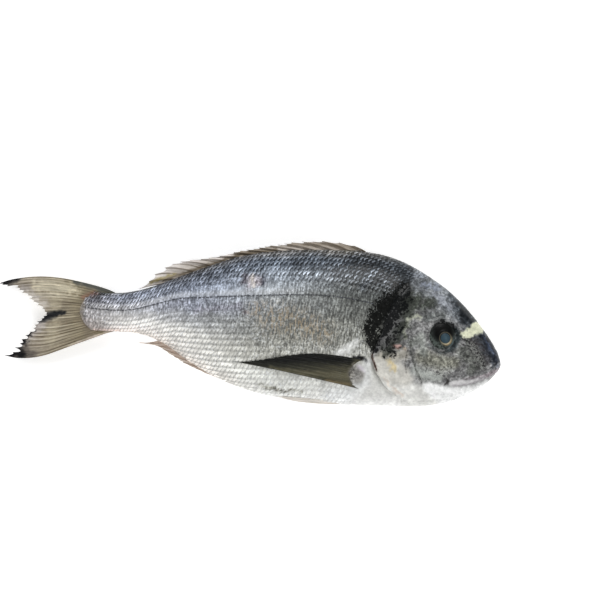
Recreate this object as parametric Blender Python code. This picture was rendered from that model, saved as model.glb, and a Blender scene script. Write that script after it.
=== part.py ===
"""A whole raw sea bream, in one piece, lying on its left flank with its right flank up.

Run with: blender --background --python part.py

The fish is drawn in its own side view first. "back" runs from the tip of the snout towards the tail, "up" from the
snout's height towards the dorsal fin, and "out" away from the table. place() turns those three into the frame of the
part: +X towards the snout, +Y towards the dorsal fin and +Z up from the table, in metres. Everything above place() is
in millimetres and degrees.
"""

import math
from collections.abc import Callable

import bmesh
import bpy
import numpy as np
from mathutils import Matrix, Vector

MM = 0.001

# Driving dimensions of the whole fish.
TOTAL_LENGTH = 320.0
BODY_END = 268.0
SNOUT_ROUNDING = 5.0
FLANK_HEIGHT = 19.0  # of the plane between the flanks, above the table
TAIL_DROOP = 15.5  # how far that plane has sunk at the tip of the tail
DROOP_START = 120.0

# The body's outline and its half thickness: (back, value), each joined by a smooth curve.
BACK_LINE = (
    (0, 0), (6, 9), (19, 24), (34, 37), (55, 49), (76, 56.3), (95, 58), (121, 56), (147, 52), (172, 45.5),
    (196, 34.5), (213, 26), (229, 18.2), (245, 13.4), (258, 14.4), (268, 15.4),
)  # fmt: skip
BELLY_LINE = (
    (0, -5), (6, -12), (14, -20), (26, -28), (40, -33), (58, -36), (83, -38.4), (109, -39.7), (135, -39.7),
    (155, -37.8), (175, -33), (195, -24.6), (214, -14.6), (226, -10.9), (238, -10.3), (250, -12.4), (260, -15.2),
    (268, -16.6),
)  # fmt: skip
HALF_THICKNESS = (
    (0, 4.6), (6, 8), (19, 12), (34, 15.6), (55, 19.4), (76, 21.7), (84, 21.1), (110, 22.3), (145, 20.8),
    (175, 17.2), (205, 12.4), (225, 9.2), (240, 7.2), (255, 4.8), (268, 2.2),
)  # fmt: skip
# How blunt the two edges of a cross-section are: 0.5 is round, more is sharper.
BACK_EDGE = ((0, 0.5), (40, 0.5), (90, 0.6), (180, 0.6), (250, 0.52), (268, 0.5))
BELLY_EDGE = ((0, 0.45), (60, 0.4), (130, 0.42), (200, 0.5), (268, 0.5))

# The tail root, where the scales end, is rounded: its top and bottom lie this far ahead of its middle.
TAIL_ROOT_ROUNDING = 7.0
TAIL_ROOT_START = 225.0

RING_POINTS = 32
STATIONS = (
    0.15, 0.7, 1.8, 3.6, 6.5, 10.5, 16, 22.5, 30, 38, 47, 57, 67, 76, 81, 86, 95, 106, 118, 131, 145, 159, 172,
    184, 195, 205, 215, 225, 235, 245, 254, 262, 268,
)  # fmt: skip

# Grooves cut in both sides of the head: (back, up) along each, and the groove's radius.
MOUTH_LINE = ((0.2, -6.6), (2.5, -9.6), (7, -12.4), (12.5, -14.8), (19.5, -17.6), (27, -19.6), (31, -18.2))
GILL_LINE = (
    (62, 43), (69, 33), (75, 20), (77.5, 8), (81, -2), (82, -8), (79.5, -15), (75.5, -20.5), (69.5, -26.5),
    (60, -31.5),
)  # fmt: skip
CHEEK_LINE = ((59.5, 8), (57, -4), (53, -13), (48, -20.5))
MOUTH_RADIUS = 0.7
GILL_RADIUS = 0.9
CHEEK_RADIUS = 0.5

EYE_PLACE = (37.6, 10.2)
EYE_RADIUS = 9.2
EYE_DEPTH = 3.2
EYE_PROUD = 2.0
EYE_RING = tuple(
    (EYE_PLACE[0] + EYE_RADIUS * math.cos(turn), EYE_PLACE[1] + EYE_RADIUS * math.sin(turn))
    for turn in np.linspace(0, math.tau, 13)
)
EYE_RING_RADIUS = 0.6

# Every fin is a fan of thick rays with a thinner web between them.
FIN_ROOT = 1.5  # how deep a fin's root stands in the body
RAY_THICKNESS = 1.3
WEB_SHARE = 0.4  # of a ray's thickness, in the web between two rays
RAY_TAPER = 0.35  # of its thickness, left at a ray's tip
WEB_NOTCH = 0.05  # of its length, that the web falls short of the rays' tips

# The fins on the back and belly: first and last root, then (back, value) for the rays' length and for their angle to
# the edge that they stand on.
DORSAL_ROOTS = (90.0, 213.0)
DORSAL_RAYS = 24
DORSAL_LENGTH = ((90, 11), (97, 19), (108, 25), (130, 24), (155, 18), (170, 17), (190, 21), (213, 21))
DORSAL_RAKE = (
    (90, 20), (100, 15), (111, 14), (122, 11), (133, 10.5), (154, 12.5), (165, 13), (176, 19), (186, 27),
    (197, 28), (213, 8),
)  # fmt: skip
ANAL_ROOTS = (170.0, 216.0)
ANAL_RAYS = 14
ANAL_LENGTH = ((170, 9), (176, 14), (190, 15), (205, 13), (216, 9))
ANAL_RAKE = ((170, 8), (177, 9), (184, 13), (198, 13), (216, 14))
RAKE_AT_ROOT = 1.5  # how much steeper a ray leaves the edge than it ends

CAUDAL_RAYS = 17
CAUDAL_ROOT_SPREAD = 13.0  # half the height of the fin's root
CAUDAL_FORK = (289.0, -4.0)
CAUDAL_TIPS = ((320.0, 10.5), (310.5, -34.0))
CAUDAL_LOBE_BOW = 3.0  # how far the hind edge of a lobe is hollowed
CAUDAL_EDGE_BOW = (6.5, -5.0)  # how far the outermost rays bend outwards

PECTORAL_RAYS = 15
PECTORAL_ROOT = ((85.5, -12.5), (89.5, -27.0))
PECTORAL_ROOT_BULGE = 5.0
PECTORAL_TIP = (164.0, -21.6)
PECTORAL_SHORTEST = (112.0, -26.6)
PECTORAL_BOW = 6.5
PECTORAL_LIFT = (-0.3, 3.4, 1.2)  # of the root, the middle and the tip, above the flank
# The lower pectoral fin lies flat under the fish, in a print that it has pressed in the flank.
UNDER_FIN_HEIGHT = 0.95
UNDER_FIN_THICKNESS = 1.1
PRINT_DEPTH = 1.9
PRINT_MARGIN = 0.6

PELVIC_RAYS = 6
PELVIC_START = 92.0
PELVIC_LENGTH = (33.0, 46.0)  # of the innermost ray and of the outer spine
PELVIC_WIDTHS = (5.0, 9.0, 5.0)  # at the root, the middle and the tip
PELVIC_FROM_MIDDLE = 1.6
PELVIC_GAP = (-0.8, 0.9, 0.9)  # from the belly's skin to the middle of the fin, at the same three places


class Line:
    """A smooth curve through (along, value) points."""

    def __init__(self, points: tuple[tuple[float, float], ...]) -> None:
        self.along, self.value = np.array(points, float).T
        self.slope = np.gradient(self.value, self.along)

    def __call__(self, along: float) -> float:
        """The curve's value at this distance along."""
        along = min(max(along, self.along[0]), self.along[-1])
        i = min(int(np.searchsorted(self.along, along, "right")) - 1, len(self.along) - 2)
        step = self.along[i + 1] - self.along[i]
        t = (along - self.along[i]) / step
        start = (1 + 2 * t) * (1 - t) ** 2 * self.value[i] + t * (1 - t) ** 2 * step * self.slope[i]
        end = t * t * (3 - 2 * t) * self.value[i + 1] - t * t * (1 - t) * step * self.slope[i + 1]
        return float(start + end)


back_line = Line(BACK_LINE)
belly_line = Line(BELLY_LINE)
half_thickness = Line(HALF_THICKNESS)
back_edge = Line(BACK_EDGE)
belly_edge = Line(BELLY_EDGE)


def mix(a: float, b: float, t: float) -> float:
    """From a at t = 0 to b at t = 1."""
    return a + (b - a) * t


def mid_plane(back: float) -> float:
    """Height above the table of the plane between the two flanks. The tail sinks towards the table."""
    past = max(0.0, back - DROOP_START) / (TOTAL_LENGTH - DROOP_START)
    return FLANK_HEIGHT - TAIL_DROOP * past**2


def snout_share(back: float) -> float:
    """The share of its full size that a cross-section has where the snout is rounded off."""
    if back >= SNOUT_ROUNDING:
        return 1.0
    return math.sqrt(1 - (1 - back / SNOUT_ROUNDING) ** 2)


def outline(back: float) -> tuple[float, float]:
    """The heights of the belly and of the back at this distance from the snout."""
    low, high = belly_line(back), back_line(back)
    centre, share = (low + high) / 2, snout_share(back)
    return mix(centre, low, share), mix(centre, high, share)


def thickness_at(back: float, rise: float) -> float:
    """Distance from the middle plane to the flank, where rise is 0 at the belly and 1 at the back."""
    rise = min(max(rise, 0.0), 1.0)
    low, high = belly_edge(back), back_edge(back)
    widest = low / (low + high)
    shape = rise**low * (1 - rise) ** high / (widest**low * (1 - widest) ** high)
    return half_thickness(back) * snout_share(back) * shape


def flank(back: float, up: float, side: int) -> float:
    """Height above the table of the upper (side 1) or lower (side -1) flank, which is flat where it lies."""
    low, high = outline(back)
    return max(0.0, mid_plane(back) + side * thickness_at(back, (up - low) / (high - low)))


def belly_skin(back: float, aside: float) -> float:
    """Height (up) of the belly's skin at this distance to the side of the middle plane."""
    low, high = outline(back)
    rises = np.linspace(0, 0.3, 121)
    reached = [thickness_at(back, rise) for rise in rises]
    return mix(low, high, float(np.interp(aside, reached, rises)))


def place(back: float, up: float, out: float) -> Vector:
    """A point of the side view, in millimetres, in the frame of the part, in metres."""
    return Vector((TOTAL_LENGTH / 2 - back, up, out)) * MM


def new_object(name: str, bm: bmesh.types.BMesh, material: bpy.types.Material) -> bpy.types.Object:
    """An object in the scene that holds this mesh, shaded smooth, hanging from the fish's own frame."""
    mesh = bpy.data.meshes.new(name)
    bm.to_mesh(mesh)
    bm.free()
    mesh.shade_smooth()
    mesh.materials.append(material)
    made = bpy.data.objects.new(name, mesh)
    made.parent = bpy.data.objects["fish_frame"]
    bpy.context.scene.collection.objects.link(made)
    return made


def principled(name: str, colour: tuple[float, float, float], roughness: float, metallic: float):
    """A plain material with the finish that a part of the fish has."""
    material = bpy.data.materials.new(name)
    material.use_nodes = True
    shader = material.node_tree.nodes["Principled BSDF"]
    shader.inputs["Base Color"].default_value = (*colour, 1)
    shader.inputs["Roughness"].default_value = roughness
    shader.inputs["Metallic"].default_value = metallic
    return material


def combine(body: bpy.types.Object, operation: str, solver: str, others: list[bpy.types.Object]) -> None:
    """Takes all the others from the body at once (DIFFERENCE), or joins them to it (UNION)."""
    together = bpy.data.collections.new(operation.lower())
    bpy.context.scene.collection.children.link(together)
    for other in others:
        together.objects.link(other)
        bpy.context.scene.collection.objects.unlink(other)
        other.hide_render = True
        other.display_type = "WIRE"
    boolean = body.modifiers.new(operation.lower(), "BOOLEAN")
    boolean.operation = operation
    boolean.operand_type = "COLLECTION"
    boolean.collection = together
    boolean.solver = solver
    boolean.material_mode = "TRANSFER"


def cross_section(back: float) -> list[Vector]:
    """The closed ring of points round the body at one station, from the back down the right flank and round."""
    low, high = outline(back)
    tail_root = max(0.0, back - TAIL_ROOT_START) / (BODY_END - TAIL_ROOT_START)
    ring = []
    for i in range(RING_POINTS):
        angle = math.tau * i / RING_POINTS
        rise = (1 + math.cos(angle)) / 2
        side = 1 if math.sin(angle) > 0 else -1
        reach = thickness_at(back, rise) if 0 < rise < 1 else 0.0
        ahead = TAIL_ROOT_ROUNDING * tail_root**2 * math.cos(angle) ** 2
        ring.append(place(back - ahead, mix(low, high, rise), mid_plane(back) + side * reach))
    return ring


def make_trunk(material: bpy.types.Material) -> bpy.types.Object:
    """Head and trunk in one closed skin, lofted over the stations."""
    bm = bmesh.new()
    rings = []
    for station in STATIONS:
        circle = bmesh.ops.create_circle(bm, segments=RING_POINTS, radius=1)["verts"]
        for vertex, point in zip(circle, cross_section(station), strict=True):
            vertex.co = point
        rings.append(list({edge for vertex in circle for edge in vertex.link_edges}))
    for ahead, behind in zip(rings, rings[1:], strict=False):
        bmesh.ops.bridge_loops(bm, edges=ahead + behind)
    for end in (rings[0], rings[-1]):
        bmesh.ops.contextual_create(bm, geom=end)
    bmesh.ops.recalc_face_normals(bm, faces=bm.faces)
    return new_object("fish", bm, material)


def groove_cutter(
    name: str,
    path: tuple[tuple[float, float], ...],
    radius: float,
    side: int,
    material: bpy.types.Material,
) -> bpy.types.Object:
    """A round cutter that runs along a line on one side of the head, with its middle on the skin."""
    curve = bpy.data.curves.new(name, "CURVE")
    curve.dimensions = "3D"
    curve.bevel_depth = radius * MM
    curve.bevel_resolution = 1
    curve.use_fill_caps = True
    spline = curve.splines.new("POLY")
    spline.use_cyclic_u = math.dist(path[0], path[-1]) < radius
    backs = Line(tuple(enumerate(back for back, _ in path)))
    ups = Line(tuple(enumerate(up for _, up in path)))
    steps = np.linspace(0, len(path) - 1, 2 * len(path))
    if spline.use_cyclic_u:
        steps = steps[:-1]
    spline.points.add(len(steps) - 1)
    for point, step in zip(spline.points, steps, strict=True):
        back, up = backs(step), ups(step)
        point.co = (*place(back, up, flank(back, up, side)), 1)
    guide = bpy.data.objects.new(f"{name}_guide", curve)
    bpy.context.scene.collection.objects.link(guide)
    mesh = bpy.data.meshes.new_from_object(guide)
    bpy.data.objects.remove(guide)
    bm = bmesh.new()
    bm.from_mesh(mesh)
    bmesh.ops.remove_doubles(bm, verts=bm.verts, dist=radius * MM / 100)
    bmesh.ops.recalc_face_normals(bm, faces=bm.faces)
    return new_object(name, bm, material)


def table_cutter(material: bpy.types.Material) -> bpy.types.Object:
    """A block under the table's top, which flattens the flank that the fish lies on."""
    bm = bmesh.new()
    bmesh.ops.create_cube(bm, size=2 * TOTAL_LENGTH * MM)
    bmesh.ops.translate(bm, verts=bm.verts, vec=place(TOTAL_LENGTH / 2, 0, -TOTAL_LENGTH))
    return new_object("table_cutter", bm, material)


def make_eye(name: str, side: int, material: bpy.types.Material) -> bpy.types.Object:
    """A flattened ball, square to the head where it sits, and standing proud of it."""
    back, up = EYE_PLACE
    here = place(back, up, flank(back, up, side))
    ahead = place(back + 2, up, flank(back + 2, up, side)) - here
    above = place(back, up + 2, flank(back, up + 2, side)) - here
    outward = ahead.cross(above).normalized()
    if outward.z * side < 0:
        outward.negate()
    bm = bmesh.new()
    bmesh.ops.create_uvsphere(bm, u_segments=20, v_segments=10, radius=MM)
    bmesh.ops.scale(bm, vec=(EYE_RADIUS, EYE_RADIUS, EYE_DEPTH), verts=bm.verts)
    turn = outward.to_track_quat("Z", "Y").to_matrix().to_4x4()
    centre = here - outward * (EYE_DEPTH - EYE_PROUD) * MM
    bmesh.ops.transform(bm, matrix=Matrix.Translation(centre) @ turn, verts=bm.verts)
    return new_object(name, bm, material)


# A ray is a bent line in the side view: its root, the point that bends it, and its tip, each (back, up, out).
Ray = tuple[Vector, Vector, Vector]


def along_ray(ray: Ray, t: float) -> Vector:
    """The point at share t of a ray, from its root to its tip."""
    root, bend, tip = ray
    return root * (1 - t) ** 2 + bend * 2 * t * (1 - t) + tip * t * t


def web_line(a: Ray, b: Ray) -> Ray:
    """The line of the web halfway between two rays, which ends a little short of them."""
    root, bend, tip = ((p + q) / 2 for p, q in zip(a, b, strict=True))
    return root, bend, tip + (root - tip) * WEB_NOTCH


def make_fin(
    name: str,
    rays: list[Ray],
    rows: int,
    material: bpy.types.Material,
    thickness: float = RAY_THICKNESS,
) -> bpy.types.Object:
    """A fin as a grid with one line for each ray and each web, made solid with its own thickness on each line."""
    lines = [rays[0]]
    for a, b in zip(rays, rays[1:], strict=False):
        lines += [web_line(a, b), b]
    bm = bmesh.new()
    bmesh.ops.create_grid(bm, x_segments=len(lines) - 1, y_segments=rows, size=1)
    weights = []
    for i, vertex in enumerate(bm.verts):
        row, column = divmod(i, len(lines))
        vertex.co = place(*along_ray(lines[column], row / rows))
        weights.append((1 if column % 2 == 0 else WEB_SHARE) * mix(1, RAY_TAPER, row / rows))
    fin = new_object(name, bm, material)
    group = fin.vertex_groups.new(name="thickness")
    for i, weight in enumerate(weights):
        group.add([i], weight, "REPLACE")
    solid = fin.modifiers.new("thickness", "SOLIDIFY")
    solid.thickness = thickness * MM
    solid.offset = 0
    solid.vertex_group = group.name
    return fin


def median_rays(
    roots: tuple[float, float],
    count: int,
    edge: Callable[[float], float],
    side: int,
    length: Line,
    rake: Line,
) -> list[Ray]:
    """The rays of a fin on the body's back (side 1) or belly (side -1), laid back at an angle to that edge."""
    rays = []
    for back in np.linspace(*roots, count):
        slope = math.atan2(edge(back + 1) - edge(back - 1), 2)
        inwards = slope - side * math.pi / 2
        root = np.array((back, edge(back))) + FIN_ROOT * np.array((math.cos(inwards), math.sin(inwards)))
        start = slope + side * math.radians(rake(back) * RAKE_AT_ROOT)
        end = slope + side * math.radians(rake(back))
        reach = length(back) + FIN_ROOT
        bend = root + reach / 2 * np.array((math.cos(start), math.sin(start)))
        tip = root + reach * np.array((math.cos(end), math.sin(end)))
        rays.append(tuple(Vector((*point, mid_plane(point[0]))) for point in (root, bend, tip)))
    return rays


def caudal_rays() -> list[Ray]:
    """The fan of the forked tail fin, from its upper to its lower lobe."""
    rays = []
    centre = sum(outline(BODY_END)) / 2
    for spread in np.linspace(1, -1, CAUDAL_RAYS):
        lobe = 0 if spread >= 0 else 1
        root_back = BODY_END - FIN_ROOT - TAIL_ROOT_ROUNDING * spread**2
        root = np.array((root_back, centre + CAUDAL_ROOT_SPREAD * spread))
        fork, end = np.array(CAUDAL_FORK), np.array(CAUDAL_TIPS[lobe])
        reach = abs(spread) ** 1.25
        tip = fork + (end - fork) * reach
        tip[1] += math.copysign(CAUDAL_LOBE_BOW, spread) * 4 * reach * (1 - reach)
        bend = (root + tip) / 2 + np.array((0, CAUDAL_EDGE_BOW[lobe] * abs(spread)))
        rays.append(tuple(Vector((*point, mid_plane(point[0]))) for point in (root, bend, tip)))
    return rays


def pectoral_rays(side: int, root_depth: float) -> list[Ray]:
    """The fan of a pectoral fin, laid back along its flank, or flat over the table for the lower one."""
    rays = []
    for share in np.linspace(0, 1, PECTORAL_RAYS):
        root = np.array([mix(a, b, share) for a, b in zip(*PECTORAL_ROOT, strict=True)])
        root[0] += PECTORAL_ROOT_BULGE * 4 * share * (1 - share) - root_depth
        reach = share**1.3
        tip = np.array([mix(a, b, reach) for a, b in zip(PECTORAL_TIP, PECTORAL_SHORTEST, strict=True)])
        bend = (root + tip) / 2 + np.array((0, PECTORAL_BOW * (1 - share) ** 2))
        outs = [UNDER_FIN_HEIGHT] * 3
        if side > 0:
            outs = [flank(*p, side) + lift for p, lift in zip((root, bend, tip), PECTORAL_LIFT, strict=True)]
        rays.append(tuple(Vector((*p, out)) for p, out in zip((root, bend, tip), outs, strict=True)))
    return rays


def fin_print_cutter(rays: list[Ray], material: bpy.types.Material) -> bpy.types.Object:
    """A slab that follows the outline of the lower pectoral fin with a margin all round."""
    roots = [along_ray(ray, 0) for ray in rays]
    tips = [along_ray(ray, 1) for ray in rays]
    upper = [along_ray(rays[0], t) for t in (0.8, 0.6, 0.4, 0.2)]
    rim = np.array([(p.x, p.y) for p in (*roots, along_ray(rays[-1], 0.5), *reversed(tips), *upper)])
    edges = np.roll(rim, -1, 0) - rim
    after = np.column_stack((edges[:, 1], -edges[:, 0])) / np.linalg.norm(edges, axis=1)[:, None]
    before = np.roll(after, 1, 0)
    grown = rim + PRINT_MARGIN * (before + after) / (1 + (before * after).sum(1))[:, None]
    bm = bmesh.new()
    bm.faces.new([bm.verts.new(place(*point, -1)) for point in grown])
    top = bmesh.ops.extrude_face_region(bm, geom=bm.faces[:])["geom"]
    raised = [item for item in top if isinstance(item, bmesh.types.BMVert)]
    bmesh.ops.translate(bm, verts=raised, vec=(0, 0, (1 + PRINT_DEPTH) * MM))
    bmesh.ops.recalc_face_normals(bm, faces=bm.faces)
    return new_object("fin_print_cutter", bm, material)


def pelvic_rays(side: int) -> list[Ray]:
    """The fan of a pelvic fin, folded back against the belly beside the middle line."""
    rays = []
    for share in np.linspace(1, 0, PELVIC_RAYS):
        length = mix(*PELVIC_LENGTH, share)
        ray = []
        for t, width, gap in zip((0, 0.5, 1), PELVIC_WIDTHS, PELVIC_GAP, strict=True):
            back = PELVIC_START + length * t
            aside = PELVIC_FROM_MIDDLE + width * share
            ray.append(Vector((back, belly_skin(back, aside) - gap, mid_plane(back) + side * aside)))
        rays.append(tuple(ray))
    return rays


def centre_on_table(frame: bpy.types.Object, fish: bpy.types.Object) -> None:
    """Moves the fish's frame so that the origin lies under the middle of the whole fish, on the table."""
    bpy.context.view_layer.update()
    graph = bpy.context.evaluated_depsgraph_get()
    corners = np.array([fish.matrix_world @ Vector(corner) for corner in fish.evaluated_get(graph).bound_box])
    low, high = corners.min(0), corners.max(0)
    frame.location = (-(low[0] + high[0]) / 2, -(low[1] + high[1]) / 2, -low[2])


def make_fish() -> None:
    """The trunk with its grooves and sockets cut out, joined to its eyes and fins in one solid."""
    frame = bpy.data.objects.new("fish_frame", None)
    bpy.context.scene.collection.objects.link(frame)
    skin = principled("silver_skin", (0.42, 0.43, 0.44), 0.35, 0.2)
    web = principled("fin_web", (0.45, 0.41, 0.33), 0.5, 0.0)
    dark_web = principled("dark_fin_web", (0.12, 0.11, 0.09), 0.45, 0.0)
    cornea = principled("cornea", (0.05, 0.07, 0.09), 0.1, 0.0)

    fish = make_trunk(skin)
    cutters = [table_cutter(skin), fin_print_cutter(pectoral_rays(-1, 0), skin)]
    joined = []
    for side, word in ((1, "right"), (-1, "left")):
        cutters += [
            groove_cutter(f"mouth_cutter_{word}", MOUTH_LINE, MOUTH_RADIUS, side, skin),
            groove_cutter(f"gill_cutter_{word}", GILL_LINE, GILL_RADIUS, side, skin),
            groove_cutter(f"cheek_cutter_{word}", CHEEK_LINE, CHEEK_RADIUS, side, skin),
            groove_cutter(f"eye_cutter_{word}", EYE_RING, EYE_RING_RADIUS, side, skin),
        ]
        joined += [
            make_eye(f"eye_{word}", side, cornea),
            make_fin(f"pelvic_fin_{word}", pelvic_rays(side), 4, web),
        ]
    dorsal = median_rays(DORSAL_ROOTS, DORSAL_RAYS, back_line, 1, Line(DORSAL_LENGTH), Line(DORSAL_RAKE))
    anal = median_rays(ANAL_ROOTS, ANAL_RAYS, belly_line, -1, Line(ANAL_LENGTH), Line(ANAL_RAKE))
    joined += [
        make_fin("dorsal_fin", dorsal, 3, web),
        make_fin("anal_fin", anal, 3, web),
        make_fin("caudal_fin", caudal_rays(), 5, web),
        make_fin("pectoral_fin_right", pectoral_rays(1, FIN_ROOT), 5, dark_web),
        make_fin("pectoral_fin_left", pectoral_rays(-1, FIN_ROOT), 4, dark_web, UNDER_FIN_THICKNESS),
    ]
    combine(fish, "DIFFERENCE", "EXACT", cutters)
    # The exact solver leaves a few edges with three faces where a fin's root crosses the slivers of a cut.
    combine(fish, "UNION", "MANIFOLD", joined)
    centre_on_table(frame, fish)


def main() -> None:
    """Clears the scene and makes the fish."""
    for old in list(bpy.data.objects):
        bpy.data.objects.remove(old)
    make_fish()


main()
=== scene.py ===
"""A whole raw sea bream on a pale table, lying on its left flank with its right flank up.

The fish is laid out in its own side view, in millimetres: "back" runs from the tip of the snout
towards the tail, "up" from the snout's height towards the dorsal fin, and "out" away from the
table. place() turns those three into metres in the frame of the part. Colours are mixed as a
painter names them, red, green and blue from 0 to 255.
"""

import logging
import math
from collections.abc import Callable, Sequence
from dataclasses import dataclass
from enum import Enum

import bpy
import numpy as np
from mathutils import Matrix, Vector


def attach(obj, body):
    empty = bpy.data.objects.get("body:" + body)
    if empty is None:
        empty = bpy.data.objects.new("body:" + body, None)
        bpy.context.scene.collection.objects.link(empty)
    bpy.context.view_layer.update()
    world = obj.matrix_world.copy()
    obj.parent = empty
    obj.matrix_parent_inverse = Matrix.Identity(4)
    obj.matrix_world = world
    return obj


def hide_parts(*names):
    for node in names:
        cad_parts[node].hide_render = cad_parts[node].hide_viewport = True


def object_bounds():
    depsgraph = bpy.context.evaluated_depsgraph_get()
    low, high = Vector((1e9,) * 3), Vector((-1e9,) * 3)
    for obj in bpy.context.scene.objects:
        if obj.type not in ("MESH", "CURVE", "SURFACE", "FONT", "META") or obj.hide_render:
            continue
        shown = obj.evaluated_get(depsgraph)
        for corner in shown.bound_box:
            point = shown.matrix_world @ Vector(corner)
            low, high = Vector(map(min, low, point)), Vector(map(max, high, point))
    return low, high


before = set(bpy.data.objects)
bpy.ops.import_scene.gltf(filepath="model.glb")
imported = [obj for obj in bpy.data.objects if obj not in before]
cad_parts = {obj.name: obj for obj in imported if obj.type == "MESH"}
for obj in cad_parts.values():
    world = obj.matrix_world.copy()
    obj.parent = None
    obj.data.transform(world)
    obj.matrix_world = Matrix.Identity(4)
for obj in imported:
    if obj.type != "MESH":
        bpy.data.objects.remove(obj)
CAD_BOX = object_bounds()

log = logging.getLogger("sea_bream")

Array = np.ndarray
Colour = tuple[int, int, int]
Pair = tuple[float, float]
Triple = tuple[float, float, float]
Points = tuple[Triple, ...]
Piece = bpy.types.Object
Material = bpy.types.Material
Socket = bpy.types.NodeSocket

NODE = "fish"
BODY = "root"
BAKE_MAP = "OFBake"

MM = 0.001
TIP_BACK = 0.15  # where the snout's tip lies, in the side view
TOP_UP = 62.285  # where the dorsal fin's highest point lies, in the side view
TOTAL_LENGTH = 320.0
BODY_END = 268.0  # where the trunk ends inside the tail fin
LOWEST = 0.02  # of anything, above the table
EYE_CENTRE = (39.2, 10.8)
EYE_RADIUS = 8.8
WHITE = (1.0, 1.0, 1.0, 1.0)
PART_CLOSE = 1e-9  # closer than this, two points of a small piece are one


class Slot(Enum):
    """The record's material slots."""

    SKIN = "skin"
    SCALES = "scales"
    FIN_WEB = "fin_web"
    EYE = "eye"


class Side(Enum):
    """The fish's two flanks: the right one is up, and it lies on the left one."""

    RIGHT = 1
    LEFT = -1

    @property
    def word(self) -> str:
        """The flank's name in the name of a piece."""
        return self.name.lower()


# ---- lines and noise


class Line:
    """A smooth curve through (along, value) points, level past its ends."""

    def __init__(self, *points: Pair) -> None:
        """Args: points: (along, value) pairs, in the order of along."""
        self.along, self.value = np.array(points, float).T
        self.slope = np.gradient(self.value, self.along)

    def __call__(self, along: Array | float) -> Array:
        """Follows the curve.

        Args:
            along: distances along it.

        Returns:
            Its value at each of them.
        """
        x = np.clip(along, self.along[0], self.along[-1])
        i = np.clip(np.searchsorted(self.along, x, "right") - 1, 0, len(self.along) - 2)
        step = self.along[i + 1] - self.along[i]
        t = (x - self.along[i]) / step
        start = (1 + 2 * t) * (1 - t) ** 2 * self.value[i] + t * (1 - t) ** 2 * step * self.slope[i]
        end = t * t * (3 - 2 * t) * self.value[i + 1] - t * t * (1 - t) * step * self.slope[i + 1]
        return start + end


def smooth(low: float, high: float, x: Array | float) -> Array:
    """0 below low, 1 above high, and an even S between them."""
    t = np.clip((x - low) / (high - low), 0, 1)
    return t * t * (3 - 2 * t)


def mix(a: Array | float, b: Array | float, t: Array | float) -> Array:
    """From a at t = 0 to b at t = 1."""
    return a + (b - a) * t


class Grain:
    """Smooth noise over a plane, from -1 to 1, the same for the same seed."""

    def __init__(self, seed: int, size: int = 257) -> None:
        """Args: seed: picks the noise. size: cells before it repeats."""
        self.lattice = np.random.default_rng(seed).uniform(-1, 1, (size, size))

    def __call__(self, x: Array, y: Array) -> Array:
        """Looks the noise up.

        Args:
            x: places across, counted in its cells.
            y: places up, counted likewise.

        Returns:
            The noise there.
        """
        i, j = np.floor(x).astype(int), np.floor(y).astype(int)
        u, v = smooth(0, 1, x - i), smooth(0, 1, y - j)
        size = len(self.lattice)
        left, right, below, above = i % size, (i + 1) % size, j % size, (j + 1) % size
        low = mix(self.lattice[left, below], self.lattice[right, below], u)
        high = mix(self.lattice[left, above], self.lattice[right, above], u)
        return mix(low, high, v)


@dataclass(frozen=True)
class Stroke:
    """A stroke of a soft round brush over the side view: a (back, up, radius) at each point of it."""

    points: Points
    soft: float = 0.5

    def cover(self, back: Array, up: Array) -> Array:
        """How much of the stroke lies at each place.

        Args:
            back: distances from the snout.
            up: heights.

        Returns:
            1 in the stroke, fading to 0 at its radius.
        """
        nearest = np.full(np.shape(back), 1e9)
        ends = self.points[1:] or self.points
        for (s0, t0, r0), (s1, t1, r1) in zip(self.points, ends, strict=False):
            length = (s1 - s0) ** 2 + (t1 - t0) ** 2
            along = 0.0
            if length:
                along = np.clip(((back - s0) * (s1 - s0) + (up - t0) * (t1 - t0)) / length, 0, 1)
            away = np.hypot(back - s0 - along * (s1 - s0), up - t0 - along * (t1 - t0))
            nearest = np.minimum(nearest, away / (r0 + along * (r1 - r0)))
        return 1 - smooth(1 - self.soft, 1, nearest)


def bell(x: Array, width: float) -> Array:
    """1 at 0, falling off evenly on both sides."""
    return np.exp(-((x / width) ** 2))


def linear(colour: Array | Colour) -> Array:
    """A painter's colour, from 0 to 255, as the light that it sends back."""
    share = np.clip(np.asarray(colour) / 255, 0, 1)
    return np.where(share < 0.04045, share / 12.92, ((share + 0.055) / 1.055) ** 2.4)


def wash(made: Array, colour: Colour, share: Array) -> Array:
    """Colours with one more laid over them, thinly or thickly as its share says."""
    return mix(made, np.array(colour, float), share[..., None])


# ---- the fish's form


def place(points: Array) -> Array:
    """Turns the side view's millimetres into the metres of the part's frame.

    Args:
        points: places (back, up, out).

    Returns:
        The places (x, y, z).
    """
    high = CAD_BOX[1]
    back, up, out = points[..., 0], points[..., 1], points[..., 2]
    x = high.x + (TIP_BACK - back) * MM
    y = high.y + (up - TOP_UP) * MM
    return np.stack((x, y, np.maximum(out, LOWEST) * MM), -1)


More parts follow.
